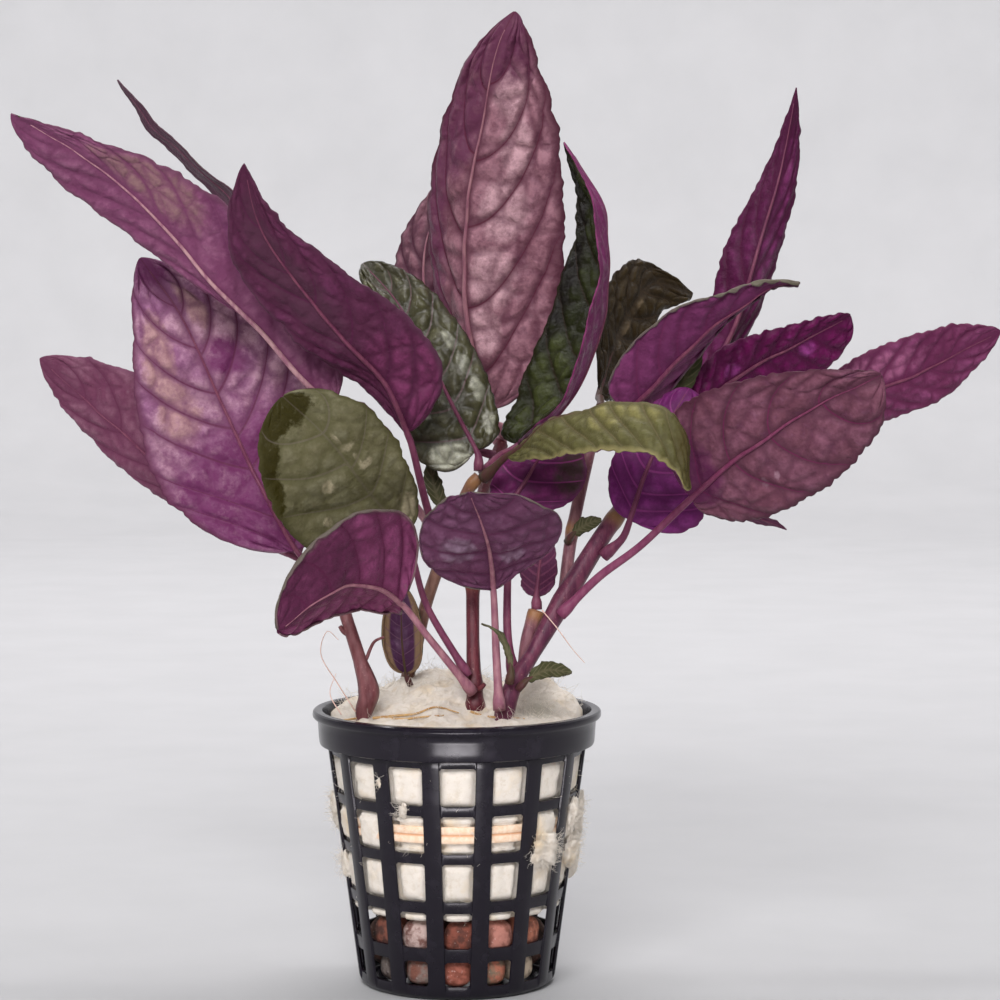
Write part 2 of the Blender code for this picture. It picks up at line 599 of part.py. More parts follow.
    leaf("leaf_under_arch",
         petiole=[(26.8, -4.4, 77.4), (29.2, -5.2, 79.8), (30.5, -5.5, 83)],
         blade=[(33, -5, 90.5), (36.5, -4, 98.5), (41, -2, 106)],
         left=[(13, -2, -6), (8, -1, -3)], right=[(-6, 2, 3), (-5, 2, 2)],
         outline=BROAD, finish=purple)
    leaf("leaf_right_tip",
         petiole=[(33.5, 5, 87.5), (41.5, 5, 88.3)],
         blade=[(51.5, 6, 84), (59, 5, 80.5)],
         left=[(-0.5, 2, -1.6), (-0.5, 2, -1.6)], right=[(0.5, -1, 1.6), (0.5, -1, 1.6)],
         outline=LANCE, finish=purple, rings=5)
    leaf("leaf_right_strip",
         petiole=[(36, 9.5, 100.5), (37, 8, 102)],
         blade=[(40.5, 6.5, 107), (44, 5.5, 113.5)],
         left=[(-1.6, 0, 0.8), (-1.6, 0, 0.8)], right=[(1.6, 0, -0.8), (1.6, 0, -0.8)],
         outline=OVATE, finish=olive, rings=5)

    leaf("leaflet_right_stem",
         petiole=[(20.1, -0.1, 79.5), (20.7, -0.9, 80.3)],
         blade=[(23, -2.8, 82.1), (25.4, -5, 83.2)],
         left=[(-0.7, 0, 1.1), (-0.7, 0, 1.1)], right=[(0.7, 0, -1.1), (0.7, 0, -1.1)],
         outline=BROAD, finish=olive, rings=5)
    leaf("leaflet_base_olive",
         petiole=[(11.6, -13.8, 55.1), (12.6, -14.4, 56.1)],
         blade=[(15.5, -17, 58), (20, -21, 58)],
         left=[(0, 0.5, 1.5), (0, 0.5, 1.5)], right=[(0, -0.5, -1.2), (0, -0.5, -1.2)],
         outline=BROAD, finish=olive, rings=5)
    leaf("leaflet_base_narrow",
         petiole=[(9.5, -14.8, 56.6), (9.6, -15.2, 57.9)],
         blade=[(9, -16, 61), (7.5, -17, 64.5), (4.5, -17, 66)],
         left=[(-0.6, 0, 0), (-0.6, 0, 0)], right=[(0.6, 0, 0), (0.6, 0, 0)],
         outline=OVATE, finish=green, rings=5)
    leaf("leaflet_sheath",
         petiole=[(14.1, -5, 68.5), (14.1, -5, 69.5)],
         blade=[(14.5, -5.5, 74), (15.5, -4.5, 80)],
         left=[(3.2, 1, 0), (3.2, 1, 0)], right=[(-3.2, 1, 0), (-3.2, 1, 0)],
         outline=BROAD, finish=purple, rings=5)


def build():
    clear_scene()
    net_pot()
    tie_band()
    clay_pebbles()
    stems(wool_plug())
    leaves()


build()
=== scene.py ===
# A potted red flame ivy: an aquarium plant rooted in mineral wool in a black net pot.
import math
import random

import bpy
import numpy as np
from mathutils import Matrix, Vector, noise


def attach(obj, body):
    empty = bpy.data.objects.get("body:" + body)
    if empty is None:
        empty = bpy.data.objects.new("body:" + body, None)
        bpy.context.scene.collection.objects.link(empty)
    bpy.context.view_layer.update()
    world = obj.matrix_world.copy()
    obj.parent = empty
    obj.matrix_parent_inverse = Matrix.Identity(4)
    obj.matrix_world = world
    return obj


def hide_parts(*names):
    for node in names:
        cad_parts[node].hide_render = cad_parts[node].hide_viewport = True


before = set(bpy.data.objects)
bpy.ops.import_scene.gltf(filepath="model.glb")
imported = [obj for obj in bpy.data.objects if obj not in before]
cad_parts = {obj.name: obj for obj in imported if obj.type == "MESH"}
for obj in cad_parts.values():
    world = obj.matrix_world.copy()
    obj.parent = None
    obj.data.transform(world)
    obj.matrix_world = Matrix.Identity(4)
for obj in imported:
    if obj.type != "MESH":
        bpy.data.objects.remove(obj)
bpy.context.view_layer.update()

bpy.ops.object.select_all(action="DESELECT")
MM = 0.001


# Net pot
# A black basket moulded in one piece from polypropylene: a tapered wall with rows of windows between flat
# ribs that stand a little proud of the rings, a rounded foot, and a deep plain rim with a narrow lip.

POT_SECTORS = 15
POT_PITCH = 2 * math.pi / POT_SECTORS
POT_TURN = math.radians(1.1)
RIB_WIDTH = 3.2 * MM
RIB_PROUD = 0.35 * MM
RIB_STEP = 0.12 * MM
POT_WALL = 0.6 * MM
WALL_RADIUS_LOW = 17.6 * MM
WALL_RADIUS_HIGH = 23.1 * MM
WALL_LOW = 1.6 * MM
WALL_HIGH = 43.0 * MM
# The rounded foot and the rim, as radii and heights in millimetres
FOOT = [(15.2, 0.0), (16.2, 0.05), (16.9, 0.35), (17.35, 0.9)]
RIM = [
    (22.5, 42.75), (24.1, 42.8), (24.38, 42.95), (24.5, 43.3), (24.62, 44.5), (24.7, 46.0), (24.78, 47.2),
    (25.0, 47.5), (25.45, 47.6), (25.66, 47.85), (25.7, 48.3), (25.6, 48.75), (25.3, 48.98), (24.2, 49.0),
    (23.98, 48.9), (23.85, 48.6), (22.4, 43.4), (22.3, 42.4), (22.4, 42.2),
]
# Each row of windows from its lower to its upper edge in millimetres
WINDOW_ROWS = [(2.6, 6.8), (9.4, 15.6), (17.8, 24.4), (26.4, 32.9), (34.9, 41.4)]
WINDOW_GROW = 0.12 * MM
CORNER = 0.38 * MM
EDGE_ROUND = 0.11 * MM
# One sector's points run from a rib's middle to the next rib's, and a window lies between these of them
SECTOR_POINTS = 9
WINDOW_FIRST = 2
WINDOW_LAST = 6
# Points nearer to each other than this are one
SAME_PLACE = 0.004 * MM


def tint(red, green, blue):
    """A colour as a photograph's 0 to 255 values, turned into light values."""
    def light(value):
        value /= 255
        return value / 12.92 if value <= 0.04045 else ((value + 0.055) / 1.055) ** 2.4
    return (light(red), light(green), light(blue), 1.0)


class Skin:
    """A new procedural material. Its nodes take plain values or other nodes' outputs."""

    def __init__(self, name, roughness, specular=0.5):
        self.material = bpy.data.materials.new(name)
        self.material.use_nodes = True
        self.shader = self.material.node_tree.nodes["Principled BSDF"]
        self.shader.inputs["Roughness"].default_value = roughness
        self.shader.inputs["Specular IOR Level"].default_value = specular

    def add(self, kind, inputs, **settings):
        node = self.material.node_tree.nodes.new("ShaderNode" + kind)
        for key, value in settings.items():
            setattr(node, key, value)
        for key, value in inputs.items():
            if isinstance(value, bpy.types.NodeSocket):
                self.material.node_tree.links.new(value, node.inputs[key])
            else:
                node.inputs[key].default_value = value
        return node

    def set(self, socket, value):
        """Gives one of the shader's inputs to a node's output."""
        self.material.node_tree.links.new(value, self.shader.inputs[socket])

    def math(self, operation, first, second=0.0):
        return self.add("Math", {0: first, 1: second}, operation=operation).outputs[0]

    def amount(self, name):
        """One of the amounts stored on the mesh."""
        return self.add("Attribute", {}, attribute_name=name).outputs["Fac"]

    def grain(self, scale, detail, roughness=0.55, stretch=(1, 1, 1)):
        """Noise on the object's own coordinates, scale in patches a metre."""
        where = self.add("TexCoord", {}).outputs["Object"]
        place = self.add("Mapping", {"Scale": stretch, "Vector": where}).outputs["Vector"]
        settings = {"Scale": scale, "Detail": detail, "Roughness": roughness, "Vector": place}
        return self.add("TexNoise", settings).outputs["Fac"]

    def ramp(self, value, low, high, start=0.0, end=1.0):
        """The value read from low to high, as start to end."""
        reading = {"From Min": low, "From Max": high, "To Min": start, "To Max": end, "Value": value}
        return self.add("MapRange", reading).outputs["Result"]

    def blend(self, share, first, second):
        """A mix of two colours, each three tint values or a node's output."""
        colours = [tint(*colour) if isinstance(colour, tuple) else colour for colour in (first, second)]
        node = self.add("Mix", {"Factor": share, 6: colours[0], 7: colours[1]}, data_type="RGBA")
        return node.outputs[2]

    def bump(self, height, distance, strength=1.0):
        node = self.add("Bump", {"Distance": distance, "Strength": strength, "Height": height})
        self.set("Normal", node.outputs["Normal"])


def black_plastic():
    skin = Skin("black_plastic", 0.18, 0.32)
    clouds = skin.grain(260, 3)
    skin.set("Base Color", skin.blend(skin.ramp(clouds, 0.55, 0.78), (22, 18, 27), (34, 30, 39)))
    skin.set("Roughness", skin.ramp(clouds, 0.3, 0.7, 0.16, 0.24))
    skin.bump(skin.grain(500, 3), 0.02 * MM, 0.5)
    return skin.material


def wall_radius(height):
    share = (height - WALL_LOW) / (WALL_HIGH - WALL_LOW)
    return WALL_RADIUS_LOW + (WALL_RADIUS_HIGH - WALL_RADIUS_LOW) * share


def choose(piece):
    """Makes a piece the only one selected, and the active one."""
    bpy.ops.object.select_all(action="DESELECT")
    piece.select_set(True)
    bpy.context.view_layer.objects.active = piece


def new_object(name, data):
    """An object around the given mesh, curve, light or camera."""
    made = bpy.data.objects.new(name, data)
    bpy.context.scene.collection.objects.link(made)
    return made


def shape_mesh(piece, positions):
    """Moves all of a mesh's points to the given positions."""
    piece.data.vertices.foreach_set("co", np.asarray(positions, float).ravel())
    piece.data.update()


def grid(name, columns, rows):
    """A new flat grid with that many points across and along, which its maker then bends into shape."""
    bpy.ops.object.select_all(action="DESELECT")
    bpy.ops.mesh.primitive_grid_add(x_subdivisions=columns - 1, y_subdivisions=rows - 1, size=2)
    piece = bpy.context.object
    piece.name = name
    piece.data.name = name
    return piece


def finish_shape(piece, kind, **settings):
    """Adds a modifier to a piece and applies it."""
    modifier = piece.modifiers.new(kind.lower(), kind)
    for key, value in settings.items():
        setattr(modifier, key, value)
    bpy.context.view_layer.objects.active = piece
    bpy.ops.object.modifier_apply(modifier=modifier.name)


def mend(piece, fill=False, merge=SAME_PLACE):
    """Joins points that lie on each other, fills open ends if told to, and turns the faces outwards."""
    choose(piece)
    bpy.ops.object.mode_set(mode="EDIT")
    bpy.ops.mesh.select_all(action="SELECT")
    bpy.ops.mesh.remove_doubles(threshold=merge)
    if fill:
        bpy.ops.mesh.select_all(action="DESELECT")
        bpy.ops.mesh.select_mode(type="EDGE")
        bpy.ops.mesh.select_non_manifold()
        bpy.ops.mesh.fill_holes(sides=0)
        bpy.ops.mesh.select_all(action="SELECT")
    bpy.ops.mesh.normals_make_consistent(inside=False)
    bpy.ops.object.mode_set(mode="OBJECT")


def join(main, others):
    """Makes others part of main."""
    choose(main)
    for other in others:
        other.select_set(True)
    bpy.ops.object.join()


def lathe(name, profile, steps=120):
    """A closed profile of radii and heights in millimetres, spun round the upright axis."""
    mesh = bpy.data.meshes.new(name)
    points = [(radius * MM, 0.0, height * MM) for radius, height in profile]
    mesh.from_pydata(points, [(i, (i + 1) % len(points)) for i in range(len(points))], [])
    piece = new_object(name, mesh)
    choose(piece)
    bpy.ops.object.mode_set(mode="EDIT")
    bpy.ops.mesh.select_all(action="SELECT")
    bpy.ops.mesh.spin(steps=steps, angle=2 * math.pi, center=(0, 0, 0), axis=(0, 0, 1))
    bpy.ops.object.mode_set(mode="OBJECT")
    mend(piece)
    return piece


def wall_rings():
    """The radius and height of each ring of points, up the foot and the wall."""
    heights = [WALL_LOW]
    for low, high in WINDOW_ROWS:
        low, high = low * MM - WINDOW_GROW, high * MM + WINDOW_GROW
        heights += [low, low + CORNER, high - CORNER, high]
    heights.append(WALL_HIGH)
    foot = [(radius * MM, height * MM) for radius, height in FOOT]
    return foot + [(wall_radius(height), height) for height in heights]


def basket_grid():
    """A grid rolled into the wall and foot, its ribs proud of its windows and rings."""
    rings = wall_rings()
    columns = POT_SECTORS * SECTOR_POINTS + 1
    piece = grid("pot_basket", columns, len(rings))
    points = np.zeros((len(rings), columns, 3))
    for row, (radius, height) in enumerate(rings):
        proud = RIB_PROUD * min(1.0, max(0.0, (height - FOOT[-1][1] * MM) / MM))
        rib = (RIB_WIDTH / 2 - WINDOW_GROW) / radius
        opening = rib + RIB_STEP / radius
        corner = opening + CORNER / radius
        shares = [0, rib, opening, corner, POT_PITCH / 2 - 0.08, POT_PITCH / 2 + 0.08, POT_PITCH - corner,
                  POT_PITCH - opening, POT_PITCH - rib]
        for column in range(columns):
            sector, place = divmod(column, SECTOR_POINTS)
            turn = POT_TURN - math.pi / 2 + POT_PITCH * (sector - 0.5) + shares[place]
            recessed = WINDOW_FIRST <= place <= WINDOW_LAST + 1
            reach = radius - (proud if recessed else 0.0)
            points[row, column] = (reach * math.cos(turn), reach * math.sin(turn), height)
    shape_mesh(piece, points)
    return piece


def window_faces(mesh):
    """The grid's faces that a window takes away, and the small triangles that round its corners."""
    columns = POT_SECTORS * SECTOR_POINTS + 1
    doomed, corners = [], []
    for face in mesh.polygons:
        row, column = divmod(face.index, columns - 1)
        window, part = divmod(row - len(FOOT) - 1, 4)
        place = column % SECTOR_POINTS
        if not 0 <= window < len(WINDOW_ROWS) or part > 2 or not WINDOW_FIRST <= place <= WINDOW_LAST:
            continue
        doomed.append(face.index)
        if part != 1 and place in (WINDOW_FIRST, WINDOW_LAST):
            low, high = row * columns + column, (row + 1) * columns + column
            corner = [low, low + 1, high + 1, high]
            is_left, is_low = place == WINDOW_FIRST, part == 0
            opposite = {(True, True): 2, (False, True): 3, (True, False): 1, (False, False): 0}
            corner.pop(opposite[is_left, is_low])
            corners.append(corner)
    return doomed, corners


def cut_windows(piece):
    mesh = piece.data
    doomed, corners = window_faces(mesh)
    for item in [*mesh.vertices, *mesh.edges, *mesh.polygons]:
        item.select = False
    for index in doomed:
        mesh.polygons[index].select = True
    fillets = bpy.data.meshes.new("window_fillets")
    fillets.from_pydata([tuple(mesh.vertices[i].co) for corner in corners for i in corner], [],
                        [(3 * i, 3 * i + 1, 3 * i + 2) for i in range(len(corners))])
    bpy.context.view_layer.objects.active = piece
    bpy.context.tool_settings.mesh_select_mode = (False, False, True)
    bpy.ops.object.mode_set(mode="EDIT")
    bpy.ops.mesh.delete(type="FACE")
    bpy.ops.object.mode_set(mode="OBJECT")
    join(piece, [new_object("window_fillets", fillets)])
    bpy.ops.object.mode_set(mode="EDIT")
    bpy.ops.mesh.select_all(action="SELECT")
    bpy.ops.mesh.remove_doubles(threshold=SAME_PLACE)
    bpy.ops.mesh.select_all(action="DESELECT")
    bpy.ops.mesh.select_mode(type="VERT")
    bpy.ops.mesh.select_loose(extend=False)
    bpy.ops.mesh.delete(type="VERT")
    bpy.ops.object.mode_set(mode="OBJECT")


def close_base(piece):
    """Closes the ring at the foot with a flat base and turns the wall outwards."""
    choose(piece)
    bpy.ops.object.mode_set(mode="EDIT")
    bpy.ops.mesh.select_all(action="DESELECT")
    bpy.ops.object.mode_set(mode="OBJECT")
    for vert in piece.data.vertices:
        vert.select = vert.co.z < 0.001 * MM
    bpy.ops.object.mode_set(mode="EDIT")
    bpy.ops.mesh.select_mode(type="VERT")
    bpy.ops.mesh.edge_face_add()
    bpy.ops.mesh.select_all(action="SELECT")
    bpy.ops.mesh.normals_make_consistent(inside=False)
    bpy.ops.object.mode_set(mode="OBJECT")


basket = basket_grid()
cut_windows(basket)
close_base(basket)
finish_shape(basket, "SOLIDIFY", thickness=POT_WALL, offset=-1.0, use_even_offset=True)
finish_shape(basket, "BEVEL", width=EDGE_ROUND, segments=2, limit_method="ANGLE",
             angle_limit=math.radians(38))
join(basket, [lathe("pot_rim", RIM)])
basket.data.materials.clear()
basket.data.materials.append(black_plastic())
choose(basket)
bpy.ops.object.shade_smooth_by_angle(angle=math.radians(35))
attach(basket, "root")
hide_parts("net_pot")


# Clay pebbles
# Loose pebbles of fired clay poured into the basket as ballast, porous and slightly irregular, each its own
# shade from dark brown through salmon to greyish cream. They show through the two lowest rows of windows.

# Each layer of pebbles that shows in front: its directions from the front in degrees, then in millimetres its
# distance and height, and half a pebble's size round the pot, outwards and upwards
FRONT_LAYERS = [
    ((-48, -24, 0, 24, 48), (14.0, 4.7, 2.7, 2.7, 2.7)),
    ((-49, -25, 3, 27, 51), (14.8, 10.8, 2.85, 2.8, 3.0)),
]
PEBBLES = [(direction, *about) for directions, about in FRONT_LAYERS for direction in directions]
PEBBLES += [(direction, 11.1, 7.3, 5.2, 5.2, 5.2) for direction in (-91, 91, -149, 149)]
PEBBLES += [(0, 4.5, 7.3, 5.2, 5.2, 5.2)]
# The pebbles farther out than this are pressed against the wall and squarer than an ellipsoid, which is 2
PEBBLES_PACKED = 12.0
PEBBLE_SQUARENESS = 2.7
# How far lumps and pores shrink a pebble, as shares of its size
LUMP_DEPTH = 0.05
PORE_DEPTH = 0.08
# Two shades for each pebble that shows in front, and for the ones behind them
PEBBLE_SHADES = [
    ((52, 38, 34), (110, 100, 94)), ((122, 76, 62), (128, 112, 104)), ((176, 104, 86), (132, 72, 56)),
    ((182, 112, 88), (126, 112, 92)), ((196, 178, 154), (128, 112, 98)), ((122, 70, 54), (72, 42, 34)),
    ((188, 164, 156), (112, 76, 68)), ((128, 68, 52), (82, 44, 34)), ((184, 124, 110), (142, 88, 74)),
    ((178, 112, 88), (116, 68, 54)),
]
DEEP_PEBBLE = ((96, 64, 52), (60, 42, 36))


def fired_clay(number):
    main, spots = PEBBLE_SHADES[number - 1] if number <= len(PEBBLE_SHADES) else DEEP_PEBBLE
    pale = tuple((value + 255) / 2 for value in main)
    skin = Skin(f"fired_clay_{number}", 0.8)
    colour = skin.blend(skin.ramp(skin.grain(420 + 13 * number, 5), 0.44, 0.58), main, spots)
    specks = skin.ramp(skin.grain(2400, 2), 0.66, 0.72, 0.0, 0.7)
    skin.set("Base Color", skin.blend(specks, colour, pale))
    skin.bump(skin.grain(1700, 4, 0.7), 0.25 * MM)
    return skin.material


def pebble(number, direction, distance, height, across, outwards, upwards):
    packed = distance > PEBBLES_PACKED
    power = PEBBLE_SQUARENESS if packed else 2.0
    bpy.ops.mesh.primitive_ico_sphere_add(subdivisions=5, radius=1.0)
    piece = bpy.context.object
    piece.name = f"pebble_{number}"
    points = []
    for vert in piece.data.vertices:
        lumps = noise.noise(vert.co * 1.6 + Vector((number * 5.0, 0, 0)))
        pores = max(0.0, noise.noise(vert.co * 9.6 + Vector((0, number * 5.0, 0))) - 0.15)
        size = 0.98 + LUMP_DEPTH * min(0.0, lumps) - PORE_DEPTH * pores
        size /= sum(abs(value) ** power for value in vert.co) ** (1 / power)
        turn = math.radians(direction - 90)
        side, reach = vert.co.x * across * size, distance - vert.co.y * outwards * size
        if packed:
            turn += side / distance
            side = 0.0
        points.append((
            (reach * math.cos(turn) - side * math.sin(turn)) * MM,
            (reach * math.sin(turn) + side * math.cos(turn)) * MM,
            (height + vert.co.z * upwards * size) * MM,
        ))
    shape_mesh(piece, points)
    piece.data.materials.append(fired_clay(number))
    piece.data.shade_smooth()
    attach(piece, "root")
    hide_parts(f"clay_pebble_{number}")


for number, about in enumerate(PEBBLES, 1):
    pebble(number, *about)


# Mineral wool
# A block of cream mineral wool, cut round and pressed into the basket, so that it swells a little into each
# window and mounds up round the stems. Fibres and tufts work loose over the ribs, most of all on the right.

WOOL_BOTTOM = 14.2
WOOL_TOP = 48.2
WALL_TOP = 43.0
BAND_LOW = 27.7
BAND_HIGH = 31.4
# The wool's side lies this far inside the wall's outer side, and swells this much into a window
WOOL_INSIDE = 1.75
WOOL_SWELL = 1.2
# Each mound: its centre, its spread and its rise in millimetres
WOOL_MOUNDS = [(-3.0, 4.0, 13.0, 7.0), (15.0, 5.0, 7.0, 4.5)]
# Each place where the wool bursts out: its direction and spread in degrees, then in millimetres its height,
# half height and reach
WOOL_BURSTS = [(50, 9, 22.5, 4.5, 1.7), (74, 12, 21, 4.6, 2.6), (74, 12, 30, 4.0, 1.2), (97, 9, 21, 4.0, 2.2)]
# A darker greyish patch on one corner of the wool's top: its middle and its size in millimetres
DARK_CORNER_PLACE = (14.5, -6, 4.0, 6.0)
# Loose fibres on the wool's top, on its side and in its tufts
TOP_FIBRES = 1500
SIDE_FIBRES = 2200
FIBRE_POINTS = 6
FIBRE_RADIUS = 0.035 * MM
TUFT_FIBRE_RADIUS = 0.03 * MM


def set_amount(piece, name, values):
    """Stores one number for each point of a mesh, for its material to read."""
    layer = piece.data.attributes.new(name, "FLOAT", "POINT")
    layer.data.foreach_set("value", np.asarray(values, np.float32))


def smooth_route(points, shares):
    """Points along a Catmull-Rom curve at shares of its length, and the share at each given point."""
    given = np.array(points, float)
    padded = np.vstack([2 * given[0] - given[1], given, 2 * given[-1] - given[-2]])
    steps = 24
    dense = []
    for before, start, end, after in zip(padded, padded[1:], padded[2:], padded[3:]):
        for t in np.arange(steps) / steps:
            dense.append(
                0.5 * (2 * start + (end - before) * t
                       + (2 * before - 5 * start + 4 * end - after) * t ** 2
                       + (3 * start - before - 3 * end + after) * t ** 3)
            )
    dense = np.array(dense + [given[-1]])
    run = np.concatenate([[0], np.cumsum(np.linalg.norm(np.diff(dense, axis=0), axis=1))])
    share = run / run[-1]
    wanted = np.linspace(0, 1, shares) if isinstance(shares, int) else np.asarray(shares)
    return at_shares(wanted, share, dense), share[::steps]


def at_shares(wanted, shares, vectors):
    """Vectors given at shares of a way, read at the wanted shares."""
    return np.stack([np.interp(wanted, shares, vectors[:, axis]) for axis in range(3)], axis=1)


def mineral_wool():
    skin = Skin("mineral_wool", 0.95)
    stains = skin.ramp(skin.grain(150, 4), 0.52, 0.72, 0.0, 0.8)
    colour = skin.blend(stains, (240, 232, 219), (232, 210, 172))
    # Fine random darker specks: painted shade in the hollows between the fibres.
    fibre_shade = skin.ramp(skin.grain(900, 5, 0.7), 0.32, 0.50)
    colour = skin.blend(fibre_shade, (228, 217, 199), colour)
    # A darker greyish patch on one corner of the wool's top.
    shade = skin.ramp(skin.amount("dark_corner"), 0.0, 1.0, 0.0, 0.75)
    skin.set("Base Color", skin.blend(shade, colour, (140, 134, 116)))
    skin.bump(skin.grain(2600, 4, 0.75, (1, 1, 2.5)), 0.3 * MM, 0.9)
    return skin.material


def wool_top(x, y):
    """Height of the wool's top in millimetres at a place in millimetres."""
    height = WOOL_TOP + 0.9 * noise.noise(Vector((x, y, 0.0)) * 0.16)
    for centre_x, centre_y, spread, rise in WOOL_MOUNDS:
        distance = math.hypot(x - centre_x, y - centre_y)
        height += rise * math.exp(-(distance / spread) ** 2)
    return height


def window_swell(turn, height):
    """How far into a window a place on the wool's side is: 1 in its middle, 0 behind ribs and rings."""
    across = (turn - POT_TURN + math.pi / 2 + POT_PITCH / 2) % POT_PITCH - POT_PITCH / 2
    half = POT_PITCH / 2 - RIB_WIDTH / 2 / wall_radius(height * MM)
    swell = max(0.0, 1 - (across / half) ** 8)
    for low, high in WINDOW_ROWS:
        if low < height < high:
            up = (height - low) / (high - low) * 2 - 1
            return swell * (1 - up ** 8)
    return 0.0


def loose_swell(turn, height):
    """Extra millimetres where the wool bursts out of the windows on the right."""
    degrees = math.degrees(turn + math.pi / 2)
    out = 0.0
    for centre, spread, middle, tall, reach in WOOL_BURSTS:
        away = ((degrees - centre) / spread) ** 2 + ((height - middle) / tall) ** 2
        out += reach * math.exp(-away ** 2)
    return out


def wool_side(turn, height):
    """The wool's radius in millimetres: it fills the basket, drawn in where the band shows in front."""
    front = abs(math.degrees((turn + math.pi / 2 + math.pi) % (2 * math.pi) - math.pi)) < 38
    where = Vector((math.cos(turn) * 22, math.sin(turn) * 22, height))
    rough = 0.22 * noise.noise(where * 0.7) + 0.12 * noise.noise(where * 2.3)
    radius = wall_radius(min(height, WALL_TOP) * MM) / MM - WOOL_INSIDE + rough
    radius += WOOL_SWELL * window_swell(turn, height) + loose_swell(turn, height)
    if BAND_LOW - 0.5 < height < BAND_HIGH + 0.5:
        radius += -0.75 if front else 0.25
    radius -= 0.5 * max(0.0, (WOOL_BOTTOM + 0.8 - height) / 0.8) ** 2
    if height > WALL_TOP:
        radius += (height - WALL_TOP) * 0.28
    return radius


def wool_block():
    """A grid rolled into the block's side and drawn together over its top."""
    side_rows, top_rows, columns = 84, 34, 301
    piece = grid("wool_block", columns, side_rows + top_rows)
    points = np.zeros((side_rows + top_rows, columns, 3))
    for column in range(columns):
        turn = 2 * math.pi * column / (columns - 1)
        for row in range(side_rows):
            height = WOOL_BOTTOM + (WOOL_TOP - 1.2 - WOOL_BOTTOM) * row / (side_rows - 1)
            radius = wool_side(turn, height)
            points[row, column] = (radius * math.cos(turn), radius * math.sin(turn), height)
        outer = math.hypot(*points[side_rows - 1, column][:2])
        for row in range(top_rows):
            radius = outer * (1 - ((row + 0.35) / (top_rows - 0.6)) ** 1.1)
            x, y = radius * math.cos(turn), radius * math.sin(turn)
            lumps = 0.8 * noise.noise(Vector((x, y, 4.0)) * 0.45)
            lumps += 0.3 * noise.noise(Vector((x, y, 9.0)) * 1.5)
            round_over = -0.9 * max(0.0, 1 - row / 3.0) ** 2
            points[side_rows + row, column] = (x, y, wool_top(x, y) + lumps * min(1.0, row / 3) + round_over)
    points[:, -1] = points[:, 0]
    shape_mesh(piece, points * MM)
    mend(piece, fill=True)
    return piece


def strands(name, lines, radius):
    """Many thin strands, each a line of points in metres, made as one piece."""
    curve = bpy.data.curves.new(name, "CURVE")
    curve.dimensions = "3D"
    curve.bevel_depth = radius
    curve.bevel_resolution = 0
    curve.use_fill_caps = True
    for line in lines:
        spline = curve.splines.new("POLY")
        spline.points.add(len(line) - 1)
        for point, place, size in zip(spline.points, line, np.linspace(1.0, 0.45, len(line))):
            point.co = (*place, 1.0)
            point.radius = size
    choose(new_object(name, curve))
    bpy.ops.object.convert(target="MESH")
    return bpy.context.object


def curly_line(start, heading, length, curl, draw):
    """One loose fibre in millimetres that wanders as it goes."""
    place, heading = Vector(start), Vector(heading).normalized()
    line = [place * MM]
    for _ in range(FIBRE_POINTS - 1):
        heading = (heading + Vector([draw.uniform(-curl, curl) for _ in range(3)])).normalized()
        place = place + heading * length / (FIBRE_POINTS - 1)
        line.append(place * MM)
    return line


def wool_fibres():
    """Loose fibres that lie on the wool, in its windows and over the ribs."""
    draw = random.Random(7)
    lines = []
    for _ in range(TOP_FIBRES):
        turn = draw.uniform(0, 2 * math.pi)
        radius = 21.5 * math.sqrt(draw.random())
        x, y = radius * math.cos(turn), radius * math.sin(turn)
        away = (draw.uniform(-1, 1), draw.uniform(-1, 1), draw.uniform(-0.1, 0.5))
        lines.append(curly_line((x, y, wool_top(x, y) - 0.1), away, draw.uniform(1.5, 4.5), 0.6, draw))
    for _ in range(SIDE_FIBRES):
        turn = draw.uniform(0, 2 * math.pi)
        height = draw.uniform(WOOL_BOTTOM + 0.5, 42.0)
        if window_swell(turn, height) < 0.1:
            continue
        radius = wall_radius(height * MM) / MM - 1.15 + loose_swell(turn, height)
        outwards = Vector((math.cos(turn), math.sin(turn), 0))
        sideways = Vector((-math.sin(turn), math.cos(turn), 0)) * draw.uniform(-1, 1)
        heading = outwards * draw.uniform(0.0, 0.22) + sideways + Vector((0, 0, draw.uniform(-1, 1)))
        start = outwards * radius + Vector((0, 0, height))
        lines.append(curly_line(start, heading, draw.uniform(1.2, 3.2), 0.5, draw))
    return strands("wool_fibres", lines, FIBRE_RADIUS)


# Each loose tuft: its direction from the front in degrees, then its height, width, length and thickness
TUFTS = [
    (-24.6, 33.9, 1.6, 2.8, 0.8), (-36, 38.5, 1.2, 2.2, 0.6), (48, 26, 7.6, 6.4, 1.9),
    (74, 31, 5.0, 6.5, 1.5), (78, 24.5, 6.0, 6.5, 1.8), (92, 28, 4.0, 12.0, 1.6), (-88, 31, 5.5, 7.0, 1.3),
    (-80, 22, 3.4, 5.0, 0.9),
]


def tuft_place(direction, height, width, length, thickness, at):
    """A place in a tuft, at being its share across, outwards and along, each from -1 to 1."""
    turn = math.radians(direction - 90)
    level = height + at.z * length / 2
    turn += at.x * width / 2 / (wall_radius(height * MM) / MM)
    radius = wall_radius(level * MM) / MM - 0.35 + at.y * thickness
    return Vector((radius * math.cos(turn), radius * math.sin(turn), level))


def tuft(number, about):
    """A pinch of wool that has worked out over a rib or a ring."""
    bpy.ops.mesh.primitive_uv_sphere_add(segments=48, ring_count=32, radius=1.0)
    piece = bpy.context.object
    piece.name = f"tuft_{number}"
    points = []
    for vert in piece.data.vertices:
        lumps = 0.9 + 0.4 * noise.noise(vert.co * 1.8 + Vector((number * 3.0, 0, 0)))
        lumps += 0.2 * noise.noise(vert.co * 6 + Vector((0, number * 3.0, 0)))
        points.append(tuft_place(*about, vert.co * lumps) * MM)
    shape_mesh(piece, points)
    return piece


